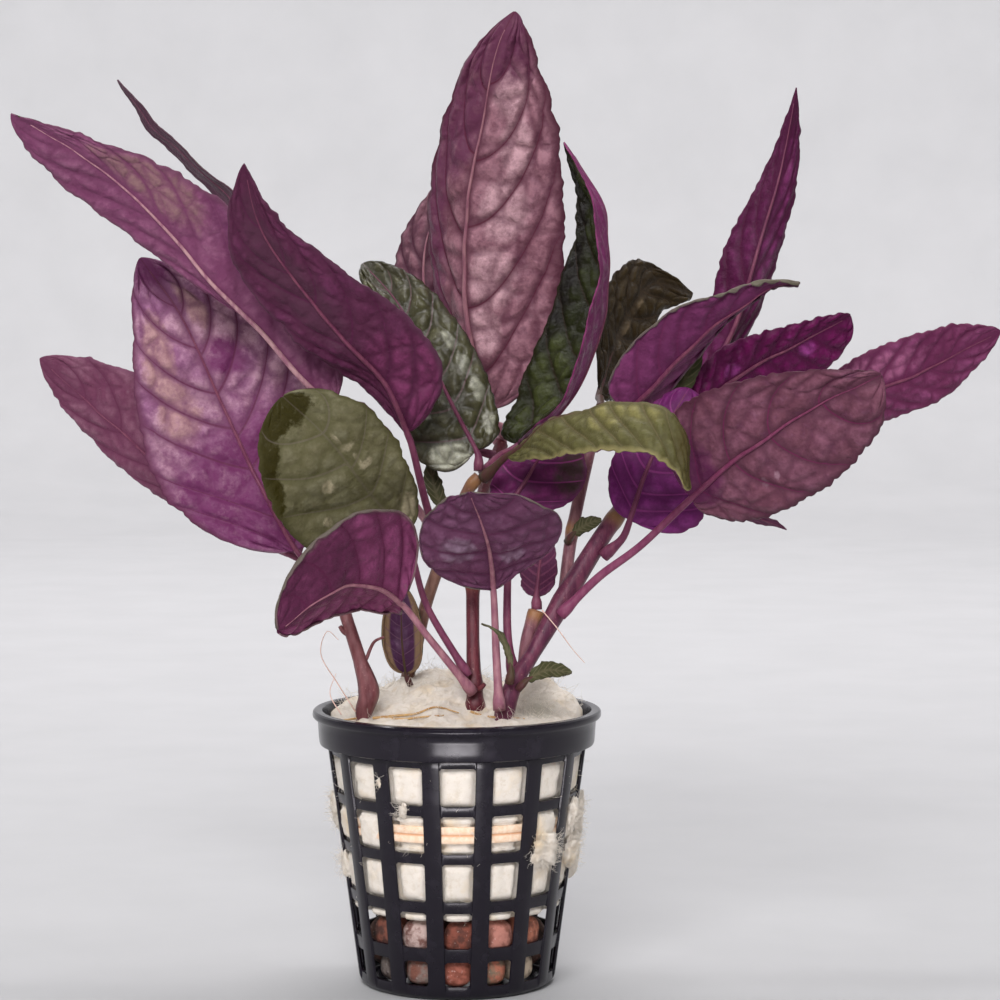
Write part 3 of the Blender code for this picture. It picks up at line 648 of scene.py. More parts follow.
def tuft_fibres():
    """Fine fibres that stand out of the tufts and make them fluffy."""
    draw = random.Random(11)
    lines = []
    for direction, height, width, length, thickness in TUFTS:
        outwards = Vector((math.sin(math.radians(direction)), -math.cos(math.radians(direction)), 0))
        for _ in range(int(26 * width * length ** 0.5)):
            at = Vector((draw.uniform(-1, 1), draw.uniform(0.2, 0.9), draw.uniform(-1, 1)))
            if at.x ** 2 + at.z ** 2 > 1:
                continue
            thick = thickness * (1 - at.x ** 2 - at.z ** 2) ** 0.5
            start = tuft_place(direction, height, width, length, thick, at)
            away = outwards * draw.uniform(0.1, 0.7) + Vector([draw.uniform(-1, 1) for _ in range(3)])
            lines.append(curly_line(start, away, draw.uniform(1.0, 3.0), 0.7, draw))
    return strands("tuft_fibres", lines, TUFT_FIBRE_RADIUS)


def root_tan(name, main, second):
    skin = Skin(name, 0.6)
    skin.set("Base Color", skin.blend(skin.ramp(skin.grain(600, 3), 0.35, 0.65), main, second))
    skin.bump(skin.grain(2200, 3), 0.05 * MM)
    return skin.material


# Roots that creep over the wool, as places from the pot's middle in millimetres
SURFACE_ROOTS = [
    [(-14.5, -12.0), (-11.0, -12.6), (-7.0, -12.2), (-3.5, -11.4), (0.5, -11.8)],
    [(-13.0, -13.5), (-9.5, -14.6), (-5.5, -14.2), (-2.0, -14.8)],
    [(2.5, -10.5), (5.5, -12.4), (9.0, -12.8), (12.0, -11.2)],
    [(-15.8, -10.0), (-18.5, -12.5), (-20.5, -14.0)],
]
# Fine hairs of root that stick out over the rim, as points in millimetres
LOOSE_HAIRS = [
    [(-17.5, -12, 50), (-20.5, -13, 55), (-23.5, -12, 60), (-22.5, -11, 64), (-20.5, -11, 62.5)],
    [(15.0, -9, 67.5), (17.6, -10, 64.5), (20.2, -10.5, 61), (22.4, -11, 58.5)],
    [(-20.0, -12, 49.5), (-22.0, -11, 53), (-21.0, -10, 56.5)],
]


def root_strands(name, routes, points, radius):
    """Thin roots along smooth routes in millimetres."""
    lines = [[Vector(point) * MM for point in smooth_route(route, points)[0]] for route in routes]
    return strands(name, lines, radius * MM)


def dark_corner_share(place):
    """How far a place lies in the darker patch: only the wool's top has it, round one corner."""
    x, y, wide, deep = DARK_CORNER_PLACE
    away = ((place.x / MM - x) / wide) ** 2 + ((place.y / MM - y) / deep) ** 2
    return math.exp(-away) * (place.z > 48.5 * MM)


wool = wool_block()
set_amount(wool, "dark_corner", [dark_corner_share(vert.co) for vert in wool.data.vertices])
fluff = [wool_fibres(), tuft_fibres()] + [tuft(number, about) for number, about in enumerate(TUFTS)]
creeping = [[(x, y, wool_top(x, y) + 0.25) for x, y in places] for places in SURFACE_ROOTS]
creepers = root_strands("surface_roots", creeping, 24, 0.26)
hairs = root_strands("loose_hairs", LOOSE_HAIRS, 30, 0.13)
wool_skin = mineral_wool()
for piece in [wool] + fluff:
    piece.data.materials.clear()
    piece.data.materials.append(wool_skin)
creepers.data.materials.append(root_tan("root_yellow", (206, 168, 112), (180, 138, 84)))
hairs.data.materials.append(root_tan("root_pink", (226, 196, 182), (214, 174, 158)))
join(wool, fluff + [creepers, hairs])
wool.data.shade_smooth()
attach(wool, "root")
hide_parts("wool_plug")


# Tie band
# A flat peach band tied round the wool, with a darker line where its two turns meet. The wool swells over it
# at the sides and the back, so it shows in the front windows only.

BAND = [
    (20.55, 28.2), (20.72, 28.35), (20.76, 28.9), (20.70, 29.45), (20.50, 29.6), (20.50, 29.72),
    (20.70, 29.85), (20.76, 30.4), (20.72, 31.0), (20.55, 31.15), (20.0, 31.15), (20.0, 28.2),
]
BAND_LINE = 29.66 * MM


def peach_band():
    skin = Skin("peach_band", 0.7)
    place = skin.add("TexCoord", {}).outputs["Object"]
    height = skin.add("SeparateXYZ", {"Vector": place}).outputs["Z"]
    away = skin.math("ABSOLUTE", skin.math("SUBTRACT", height, BAND_LINE))
    weave = skin.ramp(skin.grain(1500, 4), 0.35, 0.65)
    cloth = skin.blend(weave, (242, 218, 194), (232, 198, 164))
    skin.set("Base Color", skin.blend(skin.ramp(away, 0.08 * MM, 0.3 * MM), (214, 164, 126), cloth))
    skin.bump(skin.grain(2600, 3, 0.6, (1, 1, 4)), 0.08 * MM)
    return skin.material


band = lathe("peach_band", BAND, 90)
band.data.materials.append(peach_band())
band.data.shade_smooth()
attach(band, "root")
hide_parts("tie_band")


# Stems
# Fleshy, dark red shoots, about as thick as a matchstick, rooted in the wool. Each is ridged lengthwise and
# swells into an orange-brown node where a pair of leaves or a branch comes off.

STEM_STEP = 0.45
NODE_REACH = 1.3
STEM_RIDGES = 0.035
TUBE_SAME_PLACE = 0.002 * MM


def unit(vectors):
    return vectors / np.linalg.norm(vectors, axis=-1, keepdims=True)


def route_length(route):
    return np.linalg.norm(np.diff(np.array(route, float), axis=0), axis=1).sum()


def tube(name, path, radii, sides, ridges=0.0):
    """A grid rolled round a path in millimetres, closed at both ends."""
    count = len(path)
    piece = grid(name, sides + 1, count)
    along = unit(np.gradient(path, axis=0))
    across = unit(np.cross(along[0], (0.3, 1.0, 0.1)))
    points = np.zeros((count, sides + 1, 3))
    turns = np.linspace(0, 2 * math.pi, sides + 1)
    for row in range(count):
        across = unit(across - along[row] * np.dot(across, along[row]))
        other = np.cross(along[row], across)
        size = radii[row] * (1 + ridges * np.cos(turns * 5 + 0.4 * math.sin(row * 0.15)))
        ring = np.outer(np.cos(turns), across) + np.outer(np.sin(turns), other)
        points[row] = path[row] + size[:, None] * ring
    shape_mesh(piece, points * MM)
    mend(piece, fill=True, merge=TUBE_SAME_PLACE)
    piece.data.shade_smooth()
    return piece


def fleshy_stem(name, dark, light, node_colour):
    skin = Skin(name, 0.42, 0.22)
    streaks = skin.ramp(skin.grain(700, 4, 0.6, (1, 1, 0.22)), 0.38, 0.66)
    colour = skin.blend(skin.amount("node"), skin.blend(streaks, dark, light), node_colour)
    specks = skin.ramp(skin.grain(2200, 2), 0.64, 0.72, 0.0, 0.35)
    skin.set("Base Color", skin.blend(specks, colour, (176, 128, 122)))
    skin.bump(skin.grain(1500, 4, 0.6, (1, 1, 0.3)), 0.12 * MM)
    return skin.material


# Each stem's route and radii in millimetres, its colour, and each node's place along it with its size
STEMS = {
    "stem_left": (
        [(-15.4, -11, 42), (-16.2, -11, 49), (-15.2, -11.5, 53.5), (-16.8, -11, 59), (-18.8, -9.5, 65),
         (-21, -6, 71), (-23, -3, 74)],
        [1.1, 1.3, 1.9, 1.2, 1.1, 1.1, 1.2], "rose", [(0.23, 0.12), (0.86, 0.25)],
    ),
    "stem_olive": (
        [(-10, 3, 44.5), (-9, 3, 53.5), (-7.5, 2.5, 59), (-5.5, 1.5, 67.5), (-3, 0, 75), (-0.5, -1, 82.5),
         (2, -2, 88), (4, -2, 90.5)],
        [1.1, 1.2, 1.2, 1.1, 1.1, 1.0, 1.0, 1.0], "olive", [(0.66, 0.3), (0.97, 0.2)],
    ),
    "stem_tall": (
        [(3.5, -8, 42), (3.3, -8, 51), (2.9, -6, 62), (2.9, -3, 71.5), (3.2, 3, 80.5), (5, 12, 88),
         (7, 19, 93), (8, 21, 95)],
        [1.2, 1.4, 1.15, 1.2, 1.15, 1.1, 1.1, 1.2], "red", [(0.13, 0.45), (0.19, 0.25), (0.47, 0.32)],
    ),
    "stem_short": (
        [(11.8, -6.6, 57.1), (12.5, -6, 62), (14.1, -4.6, 66.8)], [1.1, 1.2, 1.4], "pink", [(0.93, 0.15)],
    ),
    "stem_right_main": (
        [(7.5, -12, 42), (8.5, -12, 50), (10.5, -11, 55.5), (13.5, -9, 60), (18.5, -6, 68.5),
         (25.5, -2, 79.5), (30, 2, 85.5), (34, 6, 92.5), (36.5, 8, 97)],
        [1.2, 1.8, 1.5, 1.3, 1.9, 1.6, 1.5, 1.2, 1.1], "plum", [(0.72, 0.15)],
    ),
    "stem_right_branch": (
        [(19, -2, 70), (20.5, 2.5, 80), (23.5, 5, 94), (25.5, 6, 101.5)], [1.1, 1.1, 1.1, 1.0], "pink",
        [(0.35, 0.18)],
    ),
}
# Swellings nearer to the root than this share of a stem are plain knobs, not nodes
ROOTED = 0.25
# Growths on the side of a stem, each a route in millimetres and its radius: an aerial root and two buds
SIDE_GROWTHS = {
    "stem_left": [
        ([(-16.6, -11, 57.8), (-15.6, -10.5, 59.3), (-15.0, -10, 60.8), (-14.2, -9.5, 62.1),
          (-12.6, -9, 62.8)], 0.38),
        ([(-18.6, -9.7, 63.2), (-19.7, -9.8, 63.9), (-20.3, -9.9, 64.8)], 0.6),
    ],
    "stem_tall": [([(3.0, -8.6, 53.4), (4.2, -9.4, 53.8), (5.0, -9.8, 54.6)], 0.6)],
}
GROWTH_POINTS = 20
STEM_FINISHES = {
    "red": fleshy_stem("stem_red", (80, 32, 42), (110, 54, 60), (146, 88, 58)),
    "rose": fleshy_stem("stem_rose", (94, 48, 52), (128, 82, 84), (104, 52, 48)),
    "plum": fleshy_stem("stem_plum", (80, 36, 58), (112, 58, 78), (132, 96, 68)),
    "olive": fleshy_stem("stem_olive_tan", (104, 72, 62), (134, 100, 86), (140, 100, 66)),
    "pink": fleshy_stem("stem_pink", (108, 66, 76), (146, 102, 108), (146, 104, 70)),
}


def stem(node, route, radii, finish, swellings):
    shares = np.linspace(0, 1, int(route_length(route) / STEM_STEP))
    path, marks = smooth_route(route, shares)
    sizes = np.interp(shares, marks, radii)
    length = len(shares) * STEM_STEP
    near_node = np.zeros(len(shares))
    for place, size in swellings:
        bulge = np.exp(-((shares - place) * length / NODE_REACH) ** 2)
        sizes = sizes + size * bulge
        if place > ROOTED:
            near_node = np.maximum(near_node, bulge)
    piece = tube(node + "_shoot", path, sizes, 20, STEM_RIDGES)
    places = np.array([vert.co for vert in piece.data.vertices]) / MM
    nearest = np.argmin(((places[:, None, :] - path[None, :, :]) ** 2).sum(axis=2), axis=1)
    set_amount(piece, "node", near_node[nearest])
    piece.data.materials.append(STEM_FINISHES[finish])
    growths = []
    for number, (places, thickness) in enumerate(SIDE_GROWTHS.get(node, [])):
        line, _ = smooth_route(places, GROWTH_POINTS)
        sizes = np.linspace(thickness, 0.6 * thickness, GROWTH_POINTS)
        growths.append(tube(f"{node}_growth_{number}", line, sizes, 12))
        growths[-1].data.materials.append(STEM_FINISHES[finish])
    if growths:
        join(piece, growths)
        piece.data.shade_smooth()
    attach(piece, "root")
    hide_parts(node)


for node, about in STEMS.items():
    stem(node, *about)


# Leaves
# Each leaf is a thin blade, puckered between its veins, on a round stalk that runs on under the blade as its
# midrib. The upper side is olive to grey-green or mauve, the underside deep purple, and most show that side.

BLADE_THICK = 0.32
# Broad, gentle swells of the whole blade, in millimetres and in swells a millimetre
SWELL_HEIGHT = 0.8
SWELL_SCALE = 0.16
# How far a margin wanders out of its blade's plane in millimetres, and how often from base to tip
RUFFLE_HEIGHT = 0.64
RUFFLE_COUNT = 6
STALK_STEP = 0.6
STALK_FOOT = 1.3
# Outlines of blades: how fast each widens from its base and narrows to its tip
OVATE = (0.60, 0.78)
EGG = (0.45, 0.75)
BROAD = (0.38, 0.55)
LANCE = (0.65, 1.05)
BLUNT = (0.45, 0.42)
KITE = (0.75, 0.80)


def patch_share(skin, name, softness):
    """A patch's amount with its edge frayed by noise and faded over the given softness."""
    fray = skin.ramp(skin.grain(560, 5, 0.65), 0.3, 0.7, -0.4, 0.4)
    return skin.ramp(skin.math("ADD", skin.amount(name), fray), 0.55 - softness / 2, 0.55 + softness / 2)


def side_vein_share(skin):
    """1 on the side veins, from how far a place is between two of them and from how wide that strip is."""
    apart = skin.math("PINGPONG", skin.amount("phase"), 0.5)
    away = skin.math("MULTIPLY", apart, skin.amount("strip"))
    return skin.math("MULTIPLY", skin.ramp(away, 0.45, 1.15, 1.0, 0.0), skin.amount("lateral"))


def leaf_skin(name, main, second, shade_and_mottle, vein, rim, dark=None, pale=None, roughness=0.45, vein_share=0.75,
              rim_from=0.90, softness=1.0, gloss=0.14):
    """One side of a blade: two shades in clouds, painted shade between its pillows, mottle, patches, margin
    and veins.
    """
    skin = Skin(name, roughness, gloss)
    colour = skin.blend(skin.ramp(skin.grain(130, 5, 0.65), 0.40, 0.60), main, second)
    # Pale patches: partly the leaf's own paler marks, partly painted highlights, sheen and glints.
    if pale:
        colour = skin.blend(patch_share(skin, "pale", 0.7), colour, pale)
    # Painted shade: the blade darkens towards its veins, in the creases between its pillows.
    colour = skin.blend(skin.ramp(skin.amount("pillow"), 0.0, 0.75, 0.9, 0.0), colour, shade_and_mottle)
    # Random darker mottle in the same colour.
    colour = skin.blend(skin.ramp(skin.grain(520, 5, 0.7), 0.40, 0.66, 0.0, 0.6), colour, shade_and_mottle)
    # Dark patches: partly the leaf's own darker areas, partly painted shade.
    if dark:
        colour = skin.blend(patch_share(skin, "dark", softness), colour, dark)
    colour = skin.blend(skin.ramp(skin.amount("edge"), rim_from, rim_from + 0.1, 0.0, 0.85), colour, rim)
    lines = skin.math("MAXIMUM", skin.amount("vein"), side_vein_share(skin))
    skin.set("Base Color", skin.blend(skin.ramp(lines, 0.1, 0.9, 0.0, vein_share), colour, vein))
    skin.set("Roughness", skin.ramp(skin.grain(420, 4, 0.6), 0.50, 0.68, roughness, 0.55 * roughness))
    skin.bump(skin.grain(700, 5, 0.65), 0.45 * MM, 0.8)
    return skin.material


def stalk_skin(name, main, second):
    skin = Skin(name, 0.42, 0.18)
    streaks = skin.ramp(skin.grain(900, 4, 0.6, (1, 1, 0.3)), 0.38, 0.64)
    skin.set("Base Color", skin.blend(streaks, main, second))
    skin.bump(skin.grain(1800, 3), 0.06 * MM)
    return skin.material


# The side that faces away on most leaves, and the colours that several stalks share
GREY_GREEN = leaf_skin("grey_green_upper", (112, 106, 92), (96, 94, 76), (86, 80, 66), (118, 100, 98),
                       (104, 92, 88))
OLIVE = leaf_skin("olive_upper", (92, 92, 62), (76, 80, 52), (66, 68, 44), (104, 98, 74), (70, 66, 46))
PURPLE = leaf_skin("purple_underside", (112, 58, 90), (94, 46, 76), (84, 42, 68), (120, 66, 92),
                   (104, 66, 84))
PINK_STALK = stalk_skin("pink_stalk", (134, 84, 100), (158, 112, 120))
WINE_STALK = stalk_skin("wine_stalk", (104, 50, 76), (126, 70, 90))
DARK_STALK = stalk_skin("dark_stalk", (82, 46, 50), (72, 60, 42))
MAGENTA_STALK = stalk_skin("magenta_stalk", (112, 48, 80), (128, 68, 94))
PALE_STALK = stalk_skin("pale_stalk", (196, 152, 156), (158, 104, 124))


def side_vectors(stations, progress):
    """A side's reach from the midrib, between its given vectors from base to tip, or the same all along."""
    given = np.array(stations, float)
    return at_shares(progress, np.linspace(0, 1, len(given)), given)


def blade_width(share, outline):
    """Half width of a blade at a share of its length, 1 at its widest."""
    widen, narrow = outline
    widest = widen / (widen + narrow)
    top = widest ** widen * (1 - widest) ** narrow
    return np.clip(share, 0, 1) ** widen * np.clip(1 - share, 0, 1) ** narrow / top


def vein_lines(veins, draw):
    """Where one half's side veins start, as shares of the blade, lines before those, and all lines."""
    first, last, count, climb, _ = veins
    gap = (last - first) / max(1, count - 1)
    starts = [first + gap * k + draw.uniform(-0.14, 0.14) * gap for k in range(count)]
    before = [starts[0] - gap * k for k in range(int((climb + starts[0]) / gap) + 1, 0, -1)]
    beyond = [starts[-1] + gap * k for k in range(1, int((1 - starts[-1]) / gap) + 2)]
    return starts, before, before + starts + beyond


def cell_middles(lines, veins, length, reach, cell, draw):
    """The middles of the cells between side veins in millimetres, in rows that climb with the veins."""
    climb, bend = veins[3:]
    middles = []
    for low, high in zip(lines, lines[1:]):
        across = max(1, round((high - low) * length / cell))
        along = max(1, round(reach / cell))
        for i in range(across):
            for j in range(along):
                level = low + (i + 0.5 + draw.uniform(-0.26, 0.26)) / across * (high - low)
                out = min(1.0, (j + 0.5 + 0.4 * (i % 2) + draw.uniform(-0.34, 0.34)) / along)
                middles.append(((level + climb * max(0.0, out) ** bend) * length, out * reach))
    return np.array(middles)


def from_cell_edge(places, middles):
    """How far each place is from the line between its two nearest cells."""
    apart = np.linalg.norm(places[:, :, None, :] - middles[None, None, :, :], axis=-1)
    order = np.argpartition(apart, 1, axis=2)[:, :, :2]
    near = np.take_along_axis(apart, order, axis=2)
    between = np.linalg.norm(middles[order[:, :, 0]] - middles[order[:, :, 1]], axis=-1)
    return np.abs(near[:, :, 1] ** 2 - near[:, :, 0] ** 2) / (2 * between)


def vein_net(progress, share, length, reach, veins, cell, vein_width, draw):
    """The maps of one half of a blade: small veins, pillows between them, and three for the side veins.

    Side veins climb by a share of the blade before they reach the margin, and smaller ones divide the strips
    between them into cells. The three maps are a count that is whole on every side vein, the strip's width
    in half widths of a vein, and where there are side veins at all.
    """
    count, climb, bend = veins[2:]
    starts, before, lines = vein_lines(veins, draw)
    middles = cell_middles(lines, veins, length, reach, cell, draw)
    strip = progress[:, None] - climb * share[None, :] ** bend
    flat = np.broadcast_to(share * reach, strip.shape)
    places = np.stack([np.broadcast_to(progress[:, None] * length, strip.shape), flat], axis=-1)
    cell_edge = from_cell_edge(places, middles)

    steepness = np.sqrt(1 + (climb * bend * np.maximum(share, 0.05) ** (bend - 1) * length / reach) ** 2)
    side_vein = np.min([np.abs(strip - place) for place in starts], axis=0) * length / steepness
    phase = np.interp(strip, lines, np.arange(len(lines)) - len(before))
    here = np.interp(strip, lines[:-1], np.diff(lines)) * length / steepness
    fade = 1 - np.clip((share - 0.82) / 0.18, 0, 1) ** 2
    lateral = np.clip(2 * (phase + 0.6), 0, 1) * np.clip(2 * (count - 0.4 - phase), 0, 1) * fade
    half_width = vein_width * (1 - 0.5 * share)
    small = np.clip(1 - cell_edge / (1.4 * vein_width), 0, 1) * fade
    rounded = 0.35 + 0.65 * (1 - np.exp(-(cell_edge / (0.2 * cell)) ** 2))
    pillow = (1 - np.exp(-(side_vein / 0.75) ** 2)) * rounded
    return 0.22 * small, pillow * fade, phase + 10, here / half_width, lateral


def patch_amount(progress, spread, patches):
    """Soft-edged ovals on a blade, each a place along and across it with its size along and across."""
    amounts = np.zeros((len(progress), len(spread)))
    for along, across, long, wide in patches:
        away = ((progress[:, None] - along) / long) ** 2 + ((spread[None, :] - across) / wide) ** 2
        amounts = np.maximum(amounts, np.clip(1.5 - away, 0, 1))
    return amounts


def margin_stray(progress, length, seed, is_left):
    """How far a margin strays from its outline at each place along it, in millimetres."""
    return np.array([0.5 * noise.noise(Vector((place * length * 0.22, 9.0 * is_left, seed)))
                     + 0.35 * noise.noise(Vector((place * length * 0.8, seed, 9.0 * is_left)))
                     for place in progress])


def roll_under(distance, size, radius, turned):
    """A side's reach and rise once its margin is rolled under, round a radius and for a length."""
    flat = np.maximum(size - radius, 0.2)[:, None]
    whole = distance / np.maximum(size, 0.3)[:, None] * (flat + turned)
    bent = np.clip(whole - flat, 0, None) / radius
    return np.minimum(whole, flat) + radius * np.sin(bent), -radius * (1 - np.cos(bent))


def slow_swells(points):
    """Broad, gentle swells over a blade, worked out at every fourth point and filled in between."""
    rows, columns = points.shape[:2]
    swells = np.array([[noise.noise(Vector(point) * SWELL_SCALE) for point in row[::4]]
                       for row in points[::4]])
    swells = np.array([np.interp(np.arange(rows), np.arange(0, rows, 4), column) for column in swells.T]).T
    return np.array([np.interp(np.arange(columns), np.arange(0, columns, 4), row) for row in swells])


def stalk_and_rib(name, route, start, length, radius, progress, middle, upwards, rib_side):
    """The petiole, swollen at its foot, which runs on along the blade's middle as the midrib."""
    whole = length / (1 - start)
    reached = np.linspace(0, start + (1 - start) * 0.95, int(np.clip(whole / STALK_STEP, 16, 150)))
    line, _ = smooth_route(route, reached)
    done = np.clip((reached - start) / (1 - start), 0, 1)
    thins = np.where(done > 0, 0.66 * (1 - done) ** 0.9, 1.0 - 0.28 * reached / max(start, 0.02))
    thickness = radius * thins * (1 + 0.4 * np.exp(-(reached * whole / 1.6) ** 2))
    thickness = np.maximum(thickness, 0.08)
    line = np.where(done[:, None] > 0, at_shares(done, progress, middle), line)
    out = rib_side * np.minimum(1, done * 8) * (0.12 + 0.25 * thickness)
    line = line + at_shares(done, progress, upwards) * out[:, None]
    foot = line[0] - unit(line[1] - line[0]) * STALK_FOOT
    return tube(name, np.vstack([foot, line]), np.concatenate([[thickness[0]], thickness]), 12)


def leaf(node, petiole, blade, left, right, outline=OVATE, upper=OLIVE, lower=PURPLE, stalk=WINE_STALK,
         veins=(0.06, 0.80, 6, 0.22, 1.4), cell=4.0, pucker=0.25, teeth=(14, 0.15), roll=(0.0, 0.0),
         stalk_radius=0.8, vein_width=0.26, rib_side=-1, dark=(), pale=(), spacing=0.36):
    """One leaf in millimetres: petiole and blade are its route, left and right its sides from base to tip.

    The five numbers of veins are where one half's side veins begin and end as shares of the blade, how many
    there are, how far they climb and how they bend. Teeth are a count and a size, and roll is a radius and a
    length. A pucker above 0 raises the pillows on the upper side, and rib_side tells on which side the midrib
    stands out.
    """
    draw = random.Random(node)
    route = np.array(petiole + blade, float)
    start = smooth_route(route, 2)[1][len(petiole) - 1]
    length = route_length(route) * (1 - start)
    rows = int(np.clip(length / spacing, 24, 260))
    even = np.linspace(0, 1, rows)
    progress = 0.002 + 0.9975 * (0.6 * even + 0.4 * (1 - np.cos(math.pi * even)) / 2)
    path, _ = smooth_route(route, start + (1 - start) * progress)
    along = unit(np.gradient(path, axis=0))
    to_left, to_right = side_vectors(left, progress), side_vectors(right, progress)
    upwards = unit(np.cross(to_right - to_left, along))
    width = np.maximum(blade_width(progress, outline), 0.006)
    fullness = np.minimum(1, 3 * width[:, None])
    reach = float(np.linalg.norm(to_left, axis=1).max() + np.linalg.norm(to_right, axis=1).max())
    columns = 2 * int(np.clip(reach / spacing / 2, 10, 60)) + 1
    spread = np.linspace(-1, 1, columns)
    spread = spread * (1.15 - 0.15 * spread ** 2)

    points = np.zeros((rows, columns, 3))
    maps = {name: np.zeros((rows, columns)) for name in ("vein", "pillow", "phase", "strip", "lateral")}
    for is_left, side in ((True, to_left), (False, to_right)):
        chosen = np.where(spread < 0 if is_left else spread >= 0)[0]
        share = np.abs(spread[chosen])
        size = np.linalg.norm(side, axis=1) * width
        net = vein_net(progress, share, length, max(3.0, float(size.max())), veins, cell, vein_width, draw)
        vein, pillow, *side_veins = net
        distance = size[:, None] * share[None, :]
        rib_width = 1.3 * vein_width * (1.3 - progress[:, None])
        pillow = pillow * (1 - np.exp(-(distance / 1.3) ** 2))
        maps["vein"][:, chosen] = np.maximum(vein, 0.8 * np.exp(-(distance / rib_width) ** 2))
        maps["pillow"][:, chosen] = pillow
        for name, values in zip(("phase", "strip", "lateral"), side_veins):
            maps[name][:, chosen] = values
        tooth = np.abs(np.sin(math.pi * (teeth[0] * progress + (0.3 if is_left else 0.0)))) ** 0.7 - 0.6
        tooth = teeth[1] * tooth * np.minimum(1, 4 * width)
        distance = distance + tooth[:, None] * share[None, :] ** 6
        stray = margin_stray(progress, length, len(node), is_left)
        distance = distance + stray[:, None] * share[None, :] ** 5 * fullness
        rise = np.zeros_like(distance)
        if roll[1]:
            distance, rise = roll_under(distance, size, *roll)
        wander = np.array([
            noise.noise(Vector((place * RUFFLE_COUNT, draw.random() * 0.01 + 7.0 * is_left, rows)))
            for place in progress
        ])
        wander = RUFFLE_HEIGHT * wander[:, None] * share[None, :] ** 2
        rise = rise + (pucker * pillow + wander) * fullness
        points[:, chosen] = (path[:, None, :] + unit(side)[:, None, :] * distance[:, :, None]
                             + upwards[:, None, :] * rise[:, :, None])
    points += upwards[:, None, :] * (SWELL_HEIGHT * slow_swells(points) * fullness)[:, :, None]

    piece = grid(node + "_blade", columns, rows)
    shape_mesh(piece, points * MM)
    maps["edge"] = np.tile(np.abs(spread), rows)
    maps["dark"] = patch_amount(progress, spread, dark)
    maps["pale"] = patch_amount(progress, spread, pale)
    for name, values in maps.items():
        set_amount(piece, name, values.ravel())
    piece.data.materials.append(upper)
    piece.data.materials.append(lower)
    finish_shape(piece, "SOLIDIFY", thickness=BLADE_THICK * MM, offset=0.0, material_offset=1,
                 material_offset_rim=1)
    middle = points[:, columns // 2]
    rib = stalk_and_rib(node + "_stalk", route, start, length, stalk_radius, progress, middle, upwards,
                        rib_side)
    rib.data.materials.append(stalk)
    join(piece, [rib])
    piece.data.shade_smooth()
    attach(piece, "root")
    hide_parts(node)


# Leaves of the left shoot: a broad puckered leaf at the back and a pointed one beyond it
leaf("leaf_left_broad", petiole=[(-25, -1, 75.5), (-28.5, 1, 77)],
     blade=[(-35.5, 2, 89.5), (-42, 3, 103.5), (-49, 4, 118.5), (-56.5, 6, 129)],
     left=[(15, 5, 7), (13, 5, 6)], right=[(-15, -1, -2.5), (-15.2, -1, -6), (-14, -1, -6.2), (-12, -1, -7)],
     outline=EGG, upper=GREY_GREEN, veins=(0.0, 0.80, 7, 0.26, 1.25), cell=5.4, pucker=-0.98,
     teeth=(9, 0.25), vein_width=0.30, spacing=0.32, stalk_radius=0.7,
     lower=leaf_skin("mauve_puckered_side", (187, 144, 162), (155, 103, 139), (111, 62, 93), (95, 40, 69),
         (92, 44, 68), dark=(112, 52, 94), pale=(182, 141, 142)),
     dark=[(0.16, 0.0, 0.28, 1.2), (0.62, -0.3, 0.06, 0.25), (0.97, 0.0, 0.07, 1.0)],
     pale=[(0.70, 0.6, 0.14, 0.25), (0.52, 0.5, 0.10, 0.25), (0.8, -0.3, 0.08, 0.2)])
leaf("leaf_far_left", petiole=[(-24.6, 1.2, 75), (-28.5, 7, 75)],
     blade=[(-47, 16, 85), (-64.5, 24, 99), (-78, 30, 110.5)], left=[(8.6, -3, 11.8), (7.8, -3, 10.5)],
     right=[(-0.6, 2, -0.8), (-6, 4, -6.4)], pucker=-0.45,
     lower=leaf_skin("wine_underside", (134, 89, 108), (112, 61, 85), (101, 51, 77), (95, 45, 69),
         (118, 74, 96)))

# Leaves of the olive stem
leaf("leaf_left_spear", petiole=[(-3.6, -0.2, 80), (-10.5, -4, 89.5), (-22, -6, 102.5)],
     blade=[(-33, -8, 115), (-42, -11, 124.5), (-53.5, -15, 138), (-64.5, -20, 147), (-74.5, -25, 153)],
     left=[(12.5, -3, 13.8), (1.8, -3, 2.4)], right=[(3.5, 2.5, 4.1), (-8.6, 3, -10.2)], stalk=PALE_STALK,
     pucker=-0.45, teeth=(16, 0.2), veins=(0.06, 0.85, 7, 0.24, 1.3),
     lower=leaf_skin("mauve_spear_side", (147, 93, 123), (129, 68, 105), (116, 61, 94), (118, 64, 96),
         (112, 72, 92), dark=(105, 52, 88), pale=(146, 110, 112)), dark=[(0.3, -0.9, 0.22, 0.5)],
     pale=[(0.66, -0.55, 0.16, 0.4)])
leaf("leaf_left_inner",
     petiole=[(-2.6, -2.7, 77.9), (-5, -7, 85), (-7.5, -9, 95.5), (-8.5, -9.5, 98.5)],
     blade=[(-12, -13, 107), (-22.5, -19, 119), (-32, -25, 132.5), (-35, -30, 144.5)],
     left=[(14.5, -3, 6.5), (2.5, -2, 1.3)], right=[(-2.1, 3, -1.3), (-10.1, 3, -5.4)], pucker=-0.52,
     veins=(0.05, 0.8, 6, 0.32, 1.4),
     lower=leaf_skin("slate_purple_side", (103, 48, 82), (89, 41, 68), (77, 33, 58), (84, 31, 64),
         (89, 53, 73), dark=(81, 44, 64), pale=(122, 55, 94)), dark=[(0.62, 0.1, 0.3, 0.5)],
     pale=[(0.18, -0.5, 0.16, 0.5)])
